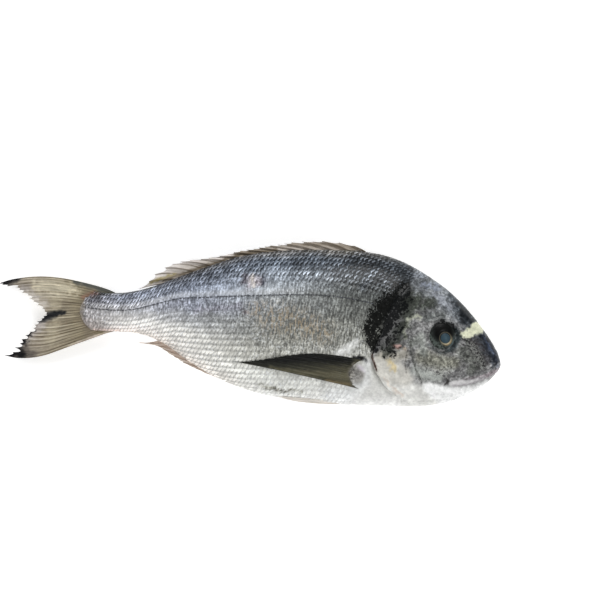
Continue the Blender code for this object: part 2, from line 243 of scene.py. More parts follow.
class Form:
    """The surface of the head and trunk. Its sizes are those of the part's source."""

    snout_rounding = 3.4
    flank_height = 19.0
    tail_droop = 15.5
    droop_start = 120.0
    tail_root_rounding = 9.0
    tail_root_start = 225.0
    rest_height = 0.62  # of the skin over the table, where scales lie between the two
    rest_softness = 1.0
    probe_back = 0.3  # how far to each side of a point its slope is taken
    probe_turn = 0.02
    first_back = 0.5  # no slope is taken nearer to the snout's tip

    back_line = Line(
        (0, 1), (6, 9.4), (19, 24), (34, 37), (55, 49), (76, 56.3), (95, 58), (121, 56), (147, 52),
        (172, 45.5), (196, 34.5), (213, 26), (229, 18.2), (245, 13.4), (258, 12.4), (268, 12.6),
    )  # fmt: skip
    belly_line = Line(
        (0, -6.4), (6, -13), (14, -20.2), (26, -28), (40, -33), (58, -36), (83, -38.4), (109, -39.7),
        (135, -39.7), (155, -37.8), (175, -33), (195, -24.6), (214, -14.6), (226, -10.9), (238, -10.3),
        (250, -11.4), (260, -12), (268, -12.4),
    )  # fmt: skip
    half_thickness = Line(
        (0, 4.6), (6, 8), (19, 12), (34, 15.6), (55, 19.4), (76, 21.7), (84, 21.1), (110, 22.3), (145, 20.8),
        (175, 17.2), (205, 12.4), (225, 9.2), (240, 7.2), (255, 4.4), (262, 2.6), (268, 1.1),
    )  # fmt: skip
    back_edge = Line((0, 0.5), (40, 0.5), (90, 0.6), (180, 0.6), (250, 0.52), (268, 0.5))
    belly_edge = Line((0, 0.45), (60, 0.4), (130, 0.42), (200, 0.5), (268, 0.5))
    lateral_line = Line(
        (60, 22), (80, 24.6), (90, 26), (103, 27), (119, 26.6), (131.5, 25.4), (152, 22.6), (176, 19),
        (194, 16.2), (208, 13.8), (217, 10.6), (226, 7.1), (235, 4), (247, 2.1), (257, 1.7), (268, 2),
    )  # fmt: skip
    gill_edge = Line(
        (-31.5, 60), (-26.5, 69.5), (-20.5, 75.5), (-15, 79.5), (-8, 82), (-2, 81), (8, 77.5), (20, 75),
        (33, 69), (43, 62),
    )  # fmt: skip

    def mid_plane(self, back: Array | float) -> Array:
        """Height over the table of the plane between the flanks. The tail sinks towards the table."""
        past = np.maximum(0.0, back - self.droop_start) / (TOTAL_LENGTH - self.droop_start)
        return self.flank_height - self.tail_droop * past**2

    def snout_share(self, back: Array | float) -> Array:
        """The share of its full size that the section has, where the snout rounds off."""
        return np.sqrt(1 - (1 - np.clip(back / self.snout_rounding, 0, 1)) ** 2)

    def outline(self, back: Array | float) -> tuple[Array, Array]:
        """The heights of the belly and of the back."""
        share = self.snout_share(back)
        low, high = self.belly_line(back), self.back_line(back)
        centre = (low + high) / 2
        return mix(centre, low, share), mix(centre, high, share)

    def reach(self, back: Array | float, rise: Array | float) -> Array:
        """How far the skin lies from the middle plane.

        Args:
            back: distances from the snout.
            rise: 0 at the belly and 1 at the back.

        Returns:
            The distance to each side.
        """
        rise = np.clip(rise, 0, 1)
        low, high = self.belly_edge(back), self.back_edge(back)
        widest = low / (low + high)
        shape = rise**low * (1 - rise) ** high / (widest**low * (1 - widest) ** high)
        return self.half_thickness(back) * self.snout_share(back) * shape

    def section(self, back: Array, turn: Array) -> tuple[Array, Array]:
        """Places on the skin, across the body.

        Args:
            back: distances from the snout.
            turn: 0 at the back, half a turn at the belly and below 0 on the left.

        Returns:
            Heights, and distances to the right of the middle plane.
        """
        low, high = self.outline(back)
        rise = (1 + np.cos(turn)) / 2
        return mix(low, high, rise), np.sign(np.sin(turn)) * self.reach(back, rise)

    def flank(self, back: Array | float, up: Array | float, side: int) -> Array:
        """Height over the table of the upper (1) or lower (-1) flank."""
        low, high = self.outline(back)
        return self.mid_plane(back) + side * self.reach(back, (up - low) / (high - low))

    def bare(self, back: Array, turn: Array, flat: Array | float = 1.0) -> Array:
        """Points of the smooth body, flattened where it rests on the table.

        Args:
            back: distances from the snout.
            turn: angles round the section.
            flat: the share of its thickness that the body has there.

        Returns:
            The points (back, up, out).
        """
        up, aside = self.section(back, turn)
        over = self.mid_plane(back) + aside * flat - self.rest_height
        over = (over + np.sqrt(over**2 + self.rest_softness**2)) / 2
        return np.stack((back + 0 * turn, up, over + self.rest_height), -1)

    def point(self, back: Array, turn: Array, lift: Array, flat: Array | float = 1.0) -> Array:
        """Points of the body.

        Args:
            back: distances from the snout.
            turn: angles round the section.
            lift: how far each point stands off the smooth body.
            flat: the share of its thickness that the body has there.

        Returns:
            The points (back, up, out).
        """
        inside, far, wide = np.maximum(back, self.first_back), self.probe_back, self.probe_turn
        along = self.bare(inside + far, turn) - self.bare(inside - far, turn)
        round_it = self.bare(back, turn + wide) - self.bare(back, turn - wide)
        outward = np.cross(round_it, along)
        size = np.linalg.norm(outward, axis=-1)[..., None]
        ahead = (-1.0, 0.0, 0.0)
        facing = np.where(size > 1e-6, outward / np.maximum(size, 1e-6), ahead)
        return self.bare(back, turn, flat) + facing * lift[..., None]

    def turn_at(self, back: Array, up: Array) -> Array:
        """The turn on the right flank at a height."""
        low, high = self.outline(back)
        return np.arccos(np.clip(2 * (up - low) / (high - low) - 1, -1, 1))


FORM = Form()


# Each ridge, or pit below 0, in turn: upper and lower jaw, the lines of the mouth, folds under
# the eye and along the cheek, swellings of the gill cover, nostrils, folds of the throat, the
# pit over the pectoral fin, the brow and the line down the snout.
RIDGES: tuple[tuple[float, Stroke], ...] = (
    (0.45, Stroke(((3, -5.6, 1.9), (10, -11.2, 2.2), (19, -15, 2.3), (27, -17.2, 2)), 0.9)),
    (0.4, Stroke(((2.5, -11.6, 1.6), (9, -16.2, 1.9), (17, -20, 2), (26, -22.2, 1.6)), 0.9)),
    (-0.4, Stroke(((-1, -6.4, 0.9), (2.5, -8.8, 0.9), (7, -12.4, 0.95), (12.5, -15.4, 0.95),
        (19.5, -18.2, 0.95), (27, -19.8, 0.9), (31, -18.4, 0.7)), 0.9)),
    (-0.65, Stroke(((1, -1.6, 0.7), (3, -4.4, 0.8), (12.5, -9.4, 0.9), (22.7, -12.9, 0.9),
        (31, -15.4, 0.9), (32.7, -17.6, 0.8)), 1)),
    (-0.55, Stroke(((49, 4, 0.8), (44, 0.6, 1), (36, -0.6, 1.1), (28, 0.8, 1), (23, 4, 0.7)), 1)),
    (-0.8, Stroke(((59.5, 8, 0.7), (57, -4, 1), (53, -13, 1), (48, -20.5, 0.9), (42, -24, 0.6)), 1)),
    (-0.4, Stroke(((59.8, 0.4, 0.6), (60.9, -8.7, 0.8), (59.2, -15, 0.6)), 1)),
    (0.7, Stroke(((54, -2, 5), (48, -12, 6)), 1)),
    (0.8, Stroke(((68, 8, 6), (70, -10, 7)), 1)),
    (-1.1, Stroke(((23.2, 9.6, 1.2),), 0.8)),
    (-0.6, Stroke(((20.4, 11.4, 0.8),), 0.8)),
    (0.35, Stroke(((24.6, 8.4, 1.6), (25, 10.6, 1.4)), 1)),
    (-0.5, Stroke(((22, -25.8, 0.7), (34, -29, 0.9), (50, -31.6, 0.9), (60, -32.5, 0.8)), 1)),
    (-0.3, Stroke(((30, -25, 0.7), (44, -27.6, 0.8), (58, -28.5, 0.7)), 1)),
    (-0.9, Stroke(((85.6, -9.8, 0.8), (88, -9.4, 1.2), (90.5, -10, 0.8)), 0.8)),
    (0.5, Stroke(((13, 14, 2.6), (22, 22, 3), (33, 31, 3)), 1)),
    (-0.35, Stroke(((14, 6, 1.2), (22, 2, 1.4), (30, -3, 1.4), (40, -8, 1.4)), 1)),
)  # fmt: skip


class Relief:
    """How far the skin of the head stands off the smooth body: gill cover, lips, folds and pits."""

    cover_lift = 0.85
    cover_rim = 0.9  # how wide the cover's rounded edge is
    cover_swell = (-15.0, -1.2)  # behind its edge, where the cover rises to its full height
    cover_ends = ((-35.0, -29.0), (38.0, 46.0))  # heights where its edge grows into the body
    slit_depth = 1.2
    slit_length = 3.2
    socket_depth = 1.3
    brow = (0.25, 0.55)  # heights of the rim below and above the eye
    brow_width = 1.4
    fold_height, fold_size = 0.09, 2.4
    pore_height, pore_size = 0.05, 0.9

    def __init__(self) -> None:
        """Prepares the fine folds."""
        self.folds, self.pores = Grain(11), Grain(12)

    def gill_share(self, up: Array) -> Array:
        """1 where the gill cover is open along its edge, and 0 where it grows into the body."""
        low, high = self.cover_ends
        return smooth(*low, up) * (1 - smooth(*high, up))

    def cover(self, behind: Array, up: Array) -> Array:
        """The gill cover's swelling and, behind its edge, the slit under it.

        Args:
            behind: distances behind the edge.
            up: heights.

        Returns:
            How far the skin stands off there.
        """
        rim = np.clip((behind + self.cover_rim) / self.cover_rim, 0, 1)
        cover = self.cover_lift * smooth(*self.cover_swell, behind) * np.sqrt(1 - rim**2 * 0.9)
        slit = -self.slit_depth * np.exp(-np.maximum(behind, 0) / self.slit_length)
        slit = slit * (1 - 0.6 * smooth(-2, 8, up))
        return np.where(behind < 0, cover, slit) * self.gill_share(up)

    def around_eye(self, back: Array, up: Array) -> Array:
        """The rim round the eye, higher above it, and the socket inside the rim."""
        above = up - EYE_CENTRE[1]
        away = np.hypot(back - EYE_CENTRE[0], above) - EYE_RADIUS
        brow = mix(*self.brow, smooth(-2, 8, above)) * bell(away - 1.5, self.brow_width)
        return brow - self.socket_depth * (1 - smooth(-1.6, 0.6, away))

    def lift(self, back: Array, up: Array) -> Array:
        """All of the relief, at each place of a flank.

        Args:
            back: distances from the snout.
            up: heights.

        Returns:
            How far the skin stands off there.
        """
        behind = back - FORM.gill_edge(up)
        made = self.cover(behind, up) + self.around_eye(back, up)
        for height, stroke in RIDGES:
            made += height * stroke.cover(back, up)
        folds = self.fold_height * self.folds(back / self.fold_size, up / self.fold_size)
        pores = self.pore_height * self.pores(back / self.pore_size, up / self.pore_size)
        return made + (1 - smooth(-1, 1, behind)) * (folds + pores)


RELIEF = Relief()


# ---- the fish's colours


@dataclass(frozen=True)
class Dab:
    """One colour laid on in one stroke."""

    colour: Colour
    points: Points
    soft: float = 0.5
    strength: float = 1.0
    ragged: float = 0.6  # how far the stroke's edge strays

    def cover(self, back: Array, up: Array) -> Array:
        """How thickly the colour lies at each place."""
        return Stroke(self.points, self.soft).cover(back, up) * self.strength


@dataclass(frozen=True)
class Band:
    """The colours along one level of the trunk, from just behind the gill cover to the tail's root.

    The level is 1 at the back, 0 on the lateral line and -1 at the belly.
    """

    level: float
    colours: tuple[Colour, ...]


HEAD_DABS: tuple[Dab, ...] = (
    Dab((113, 117, 121), ((62, 46, 9), (46, 38, 9), (36, 30, 8), (30, 24, 5)), 0.8),
    Dab((223, 223, 219), ((8, -26, 9), (30, -33, 13), (50, -31, 13), (66, -29, 14), (80, -32, 13)), 0.5),
    Dab((203, 201, 194), ((60, -18, 8), (66, -16, 10), (74, -15, 9), (77, -10, 6)), 0.6),
    Dab((172, 168, 157), ((62, -4, 5), (68, -6, 6), (76, -6, 5)), 0.9, 0.85),
    Dab((158, 162, 158), ((54, -13, 5), (46, -15, 5), (38, -16, 3.6)), 0.8, 0.9),
    Dab((116, 116, 107), ((50, -4, 8), (38, -6, 8), (30, -5, 6)), 0.8),
    Dab((88, 90, 86), ((25, 2, 7), (15, -3, 7), (19, -9, 4)), 0.8, 0.95),
    Dab((142, 146, 141), ((58, 4, 4.5), (53, 8, 5), (50, -1, 4.6)), 0.9, 0.85),
    Dab((56, 60, 54), ((48, 31, 5), (56, 30, 8), (64, 30, 10)), 0.9, 0.9, 1.6),
    Dab((94, 98, 97), ((41, 23.5, 4.5), (50, 21, 4.5)), 0.9, 0.7),
    Dab((148, 152, 160), ((36, 29, 3), (42, 33, 4.6), (46, 36.5, 3.6)), 0.9, 0.8, 1.6),
    # painted highlight on the nape
    Dab((156, 163, 178), ((44, 41, 2.2), (50, 41.5, 3.2), (55, 41, 2.6)), 1, 0.85, 1.6),
    Dab((132, 138, 148), ((56, 47, 3.4), (66, 46.6, 3.4)), 1, 0.7, 1.6),
    Dab((186, 190, 170), ((53.5, 20.4, 1.5), (57, 21.6, 2), (61, 19.6, 2.4), (63, 15.5, 2.2),
        (63.2, 11, 1.8), (62.6, 6, 1.4)), 1, 0.85, 1),
    Dab((128, 130, 138), ((19, 7, 2.6), (14, 5, 1.8)), 1, 0.6, 1.4),
    Dab((40, 38, 40), ((26, 12, 3), (21, 10, 6.5), (16, 4, 7.5), (12, -2, 6)), 0.9, 0.9, 2.4),
    Dab((26, 30, 38), ((17, 20, 6.8), (11.6, 13.6, 8.6), (7.4, 7.4, 8.6), (4.6, 2, 7.4),
        (2.6, -2.6, 4.8)), 1, 0.98, 2.4),
    Dab((52, 58, 64), ((36, 39, 5), (31, 33, 7.4), (26, 27, 8.5), (22, 22, 6.5)), 0.9, 0.85, 2),
    Dab((24, 28, 32), ((30, 31.5, 4.6), (26.4, 27.4, 7.4), (23.4, 22.8, 6.2)), 0.9, 0.95, 1.6),
    # painted highlight along the glossy snout ridge
    Dab((84, 96, 120), ((12.6, 13, 1.2), (8.4, 7.8, 2), (5.8, 3.6, 1.4)), 1, 0.6, 0.6),
    Dab((122, 126, 134), ((1.4, -2, 1.6), (2, -5, 1.6)), 0.9, 0.85, 0.4),
    Dab((214, 216, 190), ((28.4, 12.2, 1.4), (23, 14.6, 3.3), (17.4, 18.8, 4.8)), 0.35, 1, 0.8),
    Dab((244, 245, 244), ((2, -13.5, 4.4), (7, -17.4, 6), (13, -21.4, 7.2), (22, -25, 8),
        (34, -26.4, 8.4), (44, -23, 5)), 0.6, 1, 0.6),
    Dab((160, 156, 159), ((1.2, -6.2, 2.2), (6, -9.4, 2.1), (13, -13.2, 2.3), (21, -16.6, 2.6),
        (28, -18.4, 2.4)), 0.6, 0.95, 0.3),
    Dab((128, 117, 121), ((0.6, -5.8, 1.9), (5, -9, 1.7), (9, -11.2, 1.1)), 0.9, 0.7, 0.5),
    # painted highlight along the upper edge of the upper lip
    Dab((214, 213, 213), ((30.5, -18.2, 2), (25, -17, 2.3), (19, -15.4, 1.8), (14, -13.8, 1.2)),
        0.9, 0.85, 0.5),
    Dab((122, 112, 116), ((3, -5.6, 0.9), (8, -9.6, 0.9), (15, -12.2, 0.9), (23, -14.4, 0.8)),
        1, 0.6, 0.4),
    # painted shade in the crease at the corner of the mouth
    Dab((44, 42, 40), ((34.2, -14.6, 0.6), (32.4, -17, 1), (34.4, -20, 0.6)), 0.8, 0.85, 0.4),
    # painted shade in the two folds along the cheek
    Dab((72, 74, 70), ((59, 6, 0.7), (57, -4, 1), (53, -13, 1), (48.5, -20.5, 0.9)), 1, 0.8, 0.3),
    Dab((100, 98, 94), ((59.8, 0.4, 0.7), (60.9, -8.7, 0.9), (59.2, -15, 0.7)), 1, 0.65, 0.3),
    Dab((58, 62, 56), ((60, 31, 6), (63.5, 20, 5), (65.5, 12, 6), (68, 4, 6.5), (73, -3, 6)),
        1, 0.85, 2.6),
    Dab((104, 74, 66), ((69.4, 0.6, 1), (66.8, -1.4, 0.9), (64.6, 1.6, 0.8)), 1, 0.7, 0.7),
    Dab((206, 168, 160), ((67.6, 0.4, 1.4), (65.2, 1.6, 1)), 0.8, 0.8, 0.6),
    Dab((208, 180, 150), ((62, 0, 2.4),), 1, 0.5, 0.8),
    Dab((214, 190, 130), ((70, -9, 2.6), (67.5, -13.4, 3.2)), 1, 0.6, 1.4),
    Dab((214, 188, 166), ((60, -29, 1.6), (68, -25, 1.4), (73, -20, 1)), 1, 0.35, 1),
    # painted shade in the fold under the eye
    Dab((62, 68, 68), ((31, 2.6, 1.6), (39, -0.2, 1.4), (47, 4, 1.6)), 1, 0.6, 0.3),
    Dab((36, 43, 45), ((31.6, 16, 2.4), (29.6, 11.4, 3.4), (31, 5.4, 3), (35, 2.2, 1.8)), 0.9, 0.95, 0.9),
    # painted shade in the nostrils
    Dab((20, 22, 22), ((23.2, 9.6, 1.1),), 0.8, 0.9, 0.1),
    Dab((30, 32, 32), ((20.4, 11.4, 0.7),), 0.8, 0.8, 0.1),
)  # fmt: skip

TRUNK_DABS: tuple[Dab, ...] = (
    Dab((64, 70, 76), ((87, 46, 4.6), (90, 41, 5), (93, 35, 4)), 1, 0.75, 1.2),
    Dab((98, 92, 78), ((102, 57, 2.4), (116, 57.8, 2.6), (130, 55.6, 2)), 1, 0.6, 1),
    Dab((126, 124, 136), ((168, 14, 4), (182, 10, 4.6), (196, 8, 3)), 1, 0.5, 1.6),
    # painted shade in the gill slit behind the gill cover's edge
    Dab((50, 34, 28), ((80.9, -2.6, 0.7), (81.8, -7.6, 1), (79.6, -12.2, 1.1), (77.8, -16, 0.7)),
        0.7, 0.95, 0.2),
    # painted shade in the pit over the pectoral fin's root
    Dab((22, 22, 22), ((84.6, -11.4, 1), (86.6, -9.6, 1.9), (90, -9.6, 2.1), (94, -10.4, 1.5)),
        0.5, 0.97, 0.5),
    Dab((158, 148, 152), ((164, 30, 7.5), (157, 31, 5)), 1, 0.75, 1.2),
    Dab((236, 228, 220), ((163, 34.6, 1.6), (162.4, 30.6, 2.4), (161, 26.6, 1.8)), 1, 0.95, 0.6),
    Dab((40, 42, 52), ((155.8, 33.4, 1.8), (155.6, 30, 2.1)), 0.8, 0.95, 0.6),
    Dab((78, 74, 82), ((167.4, 33.4, 2.4), (167.8, 29.2, 2.4)), 1, 0.85, 1),
    Dab((66, 54, 60), ((165.6, 11.4, 1.6), (163, 10.2, 1.4)), 1, 0.75, 0.8),
    Dab((232, 233, 231), ((103, -9, 4), (97.4, -4.2, 4.6), (92.6, 0.4, 2.6)), 0.9, 0.9, 0.8),
    Dab((222, 224, 224), ((84, -12, 4), (86, -24, 8), (92, -33, 8), (104, -34, 8)), 0.8, 0.7, 1),
    Dab((138, 128, 114), ((268, 9, 3.6), (270, 0, 4.4), (268, -9, 3.6)), 1, 0.8, 0.8),
    Dab((132, 130, 118), ((122, -34.4, 1), (132, -35, 1.6), (143, -34.8, 1.6), (150, -33.4, 0.9)),
        1, 0.85, 1.4),
    Dab((72, 68, 56), ((127, -34.6, 0.7), (134, -35.4, 1), (141, -35, 0.9)), 1, 0.8, 1.5),
    Dab((156, 114, 100), ((263, 10.6, 3), (258, 12.4, 1.6)), 1, 0.6, 0.8),
    Dab((208, 180, 168), ((258, -12, 3), (244, -10.6, 2.2)), 1, 0.5, 0.8),
    Dab((74, 78, 76), ((222, 21.4, 1.4), (232, 17.2, 1.7), (243, 13.8, 1.7), (254, 12.4, 1.6),
        (262, 12.6, 1.2)), 1, 0.75, 0.8),
)  # fmt: skip


class Paint:
    """The broad colours of the fish's skin, mixed over its side view."""

    cheek: Colour = (122, 122, 122)
    crown: Colour = (108, 112, 116)
    frost: Colour = (224, 224, 224)  # over the lateral line
    unevenness = 0.05
    trunk_start = 92.0
    stations = (96.0, 146.0, 205.0, 243.0, 264.0)
    bands: tuple[Band, ...] = (
        Band(1.0, ((92, 90, 86), (100, 98, 96), (84, 84, 88), (98, 100, 108), (104, 98, 95))),
        Band(0.75, ((51, 56, 61), (98, 107, 119), (98, 103, 114), (140, 146, 161), (112, 110, 114))),
        Band(0.45, ((59, 63, 66), (146, 154, 164), (128, 135, 150), (174, 178, 190), (146, 145, 154))),
        Band(0.15, ((84, 87, 86), (166, 172, 178), (162, 169, 184), (182, 182, 188), (162, 161, 164))),
        Band(-0.1, ((98, 100, 97), (140, 143, 143), (150, 154, 166), (180, 180, 182), (170, 168, 170))),
        Band(-0.35, ((132, 133, 127), (134, 135, 130), (170, 172, 175), (194, 192, 191), (160, 157, 158))),
        Band(-0.6, ((184, 184, 178), (166, 166, 159), (220, 219, 215), (218, 216, 213), (154, 148, 146))),
        Band(-0.85, ((218, 218, 214), (212, 213, 208), (224, 221, 216), (220, 214, 210), (152, 144, 140))),
        Band(-1.0, ((238, 238, 236), (232, 232, 228), (220, 212, 204), (214, 206, 200), (160, 150, 146))),
    )  # fmt: skip

    # the shoulder patch, the pepper below it and the surround of the eye
    ink: tuple[tuple[float, Stroke], ...] = (
        (0.9, Stroke(((65.5, 36, 7), (68.5, 33.6, 11.4), (72, 28, 13.4), (75.6, 22, 13.8), (78.6, 16, 13.6),
            (80.6, 10, 13), (81, 5, 10.6), (82, 0, 7)), 0.65)),
        (0.5, Stroke(((68, 16, 8), (70, 8, 10), (72, 1, 9), (71, -5, 6)), 0.7)),
        (1.0, Stroke(((38.6, 13, 10.8),), 0.6)),
    )  # fmt: skip
    rust = Stroke(((158, 13, 10), (146, 9, 16), (130, 8, 15), (114, 4, 12)), 1)
    worms = Stroke(((48, -14, 8), (40, -13, 7), (32, -10, 4)), 0.9)
    lilac = Stroke(((24, 10, 3), (19, 6, 5), (15, 0, 5), (11, -5, 3)), 0.9)

    def __init__(self) -> None:
        """Prepares the uneven edges of the strokes."""
        self.wander = (Grain(21), Grain(22))
        self.cloud, self.fleck = Grain(23), Grain(24)
        self.fields = [
            [Line(*zip(self.stations, values, strict=True)) for values in zip(*band.colours, strict=True)]
            for band in self.bands
        ]

    def level(self, back: Array, up: Array) -> Array:
        """The level on the trunk that the bands are named by.

        Args:
            back: distances from the snout.
            up: heights.

        Returns:
            1 at the back, 0 on the lateral line and -1 at the belly.
        """
        low, high = FORM.outline(back)
        line = FORM.lateral_line(back)
        above = (up - line) / np.maximum(high - line, 1)
        below = (up - line) / np.maximum(line - low, 1)
        return np.clip(np.where(up > line, above, below), -1, 1)

    def trunk(self, back: Array, up: Array) -> Array:
        """Mixes the trunk's colours from the bands.

        Args:
            back: distances from the snout.
            up: heights.

        Returns:
            The colour at each place.
        """
        level = self.level(back, up) + self.unevenness * self.cloud(back / 9, up / 9)
        made = np.zeros((*np.shape(back), 3))
        for channel in range(3):
            values = [fields[channel](back) for fields in self.fields]
            made[..., channel] = values[-1]
            for upper, lower, high, low in zip(values, values[1:], self.bands, self.bands[1:], strict=False):
                share = smooth(low.level, high.level, level)
                inside = (level <= high.level) & (level >= low.level)
                made[..., channel] = np.where(inside, mix(lower, upper, share), made[..., channel])
            made[..., channel] = np.where(level > 1, values[0], made[..., channel])
        return made

    def astray(self, back: Array, up: Array, layers: Points) -> list[Array]:
        """How far the edge of a stroke strays, along and up, at each place.

        Args:
            back: distances from the snout.
            up: heights.
            layers: the reach, the cell and the shift of each layer of noise.

        Returns:
            The distance along, and the distance up.
        """
        return [
            sum(reach * noise(back / cell + shift, up / cell) for reach, cell, shift in layers)
            for noise in self.wander
        ]

    def lay(self, made: Array, dabs: Sequence[Dab], back: Array, up: Array) -> Array:
        """Lays dabs of colour on, in their order.

        Args:
            made: the colours so far.
            dabs: the strokes to lay on.
            back: distances from the snout.
            up: heights.

        Returns:
            The new colours.
        """
        aside, above = self.astray(back, up, ((1.0, 1.7, 0.0), (0.6, 0.8, 40.0)))
        for dab in dabs:
            cover = dab.cover(back + dab.ragged * aside, up + dab.ragged * above)
            made = wash(made, dab.colour, cover)
        return made

    def skin(self, back: Array, up: Array) -> Array:
        """The colours of skin and scales on a flank.

        Args:
            back: distances from the snout.
            up: heights.

        Returns:
            The colour at each place, as light.
        """
        behind = back - FORM.gill_edge(up)
        low, high = FORM.outline(back)
        crown = smooth(0.62, 0.95, (up - low) / (high - low))
        head = np.tile(np.array(self.cheek, float), (*np.shape(back), 1))
        head = self.lay(wash(head, self.crown, crown), HEAD_DABS, back, up)
        trunk = self.trunk(np.maximum(back, self.trunk_start), up)
        # the lateral line is darker: partly its own dark line, partly painted shade round its raised tubes
        above = up - FORM.lateral_line(back)
        line = bell(above, 0.5) * smooth(84, 90, back)
        frost = bell(above - 2.2, 1.6) * smooth(120, 140, back) * (1 - smooth(255, 266, back))
        trunk = wash(trunk * (1 - 0.32 * line)[..., None], self.frost, 0.35 * frost)
        nape = np.where(up > 40, smooth(52, 62, back), 1.0)
        made = mix(head, trunk, (smooth(-0.4, 0.4, behind) * nape)[..., None])
        made = self.lay(made, TRUNK_DABS, back, up)
        uneven = self.cloud(back / 5, up / 5) + self.fleck(back / 1.3, up / 1.3)
        return linear(made * (1 + self.unevenness * uneven)[..., None])

    def black(self, back: Array, up: Array) -> Array:
        """The share of black pigment at each place: its edges break up into specks."""
        aside, above = self.astray(back, up, ((1.5, 3.4, 0.0), (0.8, 1.2, 0.0)))
        covers = [share * brush.cover(back + aside, up + above) for share, brush in self.ink]
        return np.max(covers, axis=0)


PAINT = Paint()


# ---- materials


class Tone:
    """A number in a material. Python's operators on it add Math nodes."""

    def __init__(self, pot: "Pot", socket: Socket) -> None:
        """Args: pot: the material being mixed. socket: the output that holds the number."""
        self.pot, self.socket = pot, socket

    def maths(self, operation: str, *others: "Tone | float") -> "Tone":
        """A Math node on this number and the others."""
        node = self.pot.node("ShaderNodeMath", {"operation": operation}, dict(enumerate((self, *others))))
        return Tone(self.pot, node.outputs[0])

    def __add__(self, other: "Tone | float") -> "Tone":
        """This plus the other."""
        return self.maths("ADD", other)

    __radd__ = __add__

    def __mul__(self, other: "Tone | float") -> "Tone":
        """This times the other."""
        return self.maths("MULTIPLY", other)

    __rmul__ = __mul__

    def __sub__(self, other: "Tone | float") -> "Tone":
        """This less the other."""
        return self.maths("SUBTRACT", other)

    def __rsub__(self, other: float) -> "Tone":
        """The other less this."""
        return (self * -1.0) + other

    def doublings(self) -> "Tone":
        """2 to the power of this, so that light and dark weigh the same."""
        node = self.pot.node("ShaderNodeMath", {"operation": "POWER"}, {0: 2.0, 1: self})
        return Tone(self.pot, node.outputs[0])

    def step(self, low: float, high: float) -> "Tone":
        """0 below low, 1 above high, and an even S between them."""
        inputs = {"Value": self, "From Min": low, "From Max": high}
        node = self.pot.node("ShaderNodeMapRange", {"interpolation_type": "SMOOTHSTEP"}, inputs)
        return Tone(self.pot, node.outputs[0])


Input = Tone | Socket | float | tuple
Settings = dict[str, str | bool]


class Pot:
    """A material while its nodes are put together."""

    def __init__(self, name: str) -> None:
        """Args: name: the material's name."""
        self.material = bpy.data.materials.new(name)
        self.material.use_nodes = True
        self.tree = self.material.node_tree
        self.shader = self.tree.nodes["Principled BSDF"]

    def node(
        self, kind: str, settings: Settings | None = None, inputs: dict[str | int, Input] | None = None
    ) -> bpy.types.Node:
        """Adds a node.

        Args:
            kind: the node's type.
            settings: its own settings, set first.
            inputs: for each socket, by name or number, a value or what it is linked to.

        Returns:
            The node.
        """
        node = self.tree.nodes.new(kind)
        for key, value in (settings or {}).items():
            setattr(node, key, value)
        for key, value in (inputs or {}).items():
            self.feed(node.inputs[key], value)
        return node

    def feed(self, socket: Socket, value: Input) -> None:
        """Links or sets one socket."""
        if isinstance(value, Tone):
            self.tree.links.new(value.socket, socket)
        elif isinstance(value, Socket):
            self.tree.links.new(value, socket)
        else:
            socket.default_value = value

    def attribute(self, name: str) -> Tone:
        """A number that the mesh holds at its vertices."""
        return Tone(self, self.node("ShaderNodeAttribute", {"attribute_name": name}).outputs["Fac"])

    def tint(self) -> Socket:
        """The colour that the mesh holds at its vertices."""
        return self.node("ShaderNodeAttribute", {"attribute_name": "tint"}).outputs["Color"]

    def lightness(self, colour: Socket) -> Tone:
        """How light a colour is."""
        return Tone(self, self.node("ShaderNodeRGBToBW", None, {0: colour}).outputs[0])

    def place(self, scale: Triple = (1, 1, 1), turn: float = 0.0) -> Socket:
        """The place on the object, in metres, stretched and turned about the upright."""
        place = self.node("ShaderNodeTexCoord").outputs["Object"]
        inputs = {"Vector": place, "Scale": scale, "Rotation": (0.0, 0.0, turn)}
        return self.node("ShaderNodeMapping", None, inputs).outputs[0]

    def stretch(self, at: Socket, scale: Pair) -> Socket:
        """A place on a flat map, stretched both ways."""
        return self.node("ShaderNodeMapping", None, {"Vector": at, "Scale": (*scale, 1.0)}).outputs[0]

    def noise(self, at: Socket, scale: float, detail: float = 2.0, roughness: float = 0.6) -> Tone:
        """Soft noise from 0 to 1 with its cells scale to a unit."""
        inputs = {"Vector": at, "Scale": scale, "Detail": detail, "Roughness": roughness}
        return Tone(self, self.node("ShaderNodeTexNoise", None, inputs).outputs[0])

    def blend(self, share: Tone | float, a: Input, b: Input) -> Socket:
        """The colour a where share is 0, and b where it is 1."""
        settings = {"data_type": "RGBA", "clamp_factor": True}
        return self.node("ShaderNodeMix", settings, {0: share, 6: a, 7: b}).outputs[2]

    def dim(self, colour: Socket, by: Tone) -> Socket:
        """A colour made darker or lighter."""
        return self.node("ShaderNodeVectorMath", {"operation": "SCALE"}, {0: colour, 3: by}).outputs[0]

    def black(self, specks: Tone, low: float, high: float) -> Tone:
        """The share of black pigment.

        Args:
            specks: what its edge breaks up into.
            low: the least pigment, with its specks, that shows.
            high: how much of it is needed for full black.

        Returns:
            0 where there is none and 1 where it is black.
        """
        ink = self.attribute("ink")
        return (ink + (specks - 0.5) * ink.step(0.0, 0.25) * 1.3).step(low, high)

    def bump(self, height: Tone, distance: float, strength: float = 1.0) -> Socket:
        """Fine relief, where height 1 stands a distance in metres above height 0."""
        inputs = {"Height": height, "Distance": distance, "Strength": strength}
        return self.node("ShaderNodeBump", None, inputs).outputs[0]

    def finish(self, constants: dict[str, float | tuple], varying: dict[str, Input]) -> Material:
        """Sets the shader's sockets and hands the material over."""
        for key, value in (constants | varying).items():
            self.feed(self.shader.inputs[key], value)
        return self.material


def light(colour: Colour) -> tuple[float, float, float, float]:
    """A painter's colour as the value of a colour socket."""
    return (*(float(share) for share in linear(colour)), 1.0)


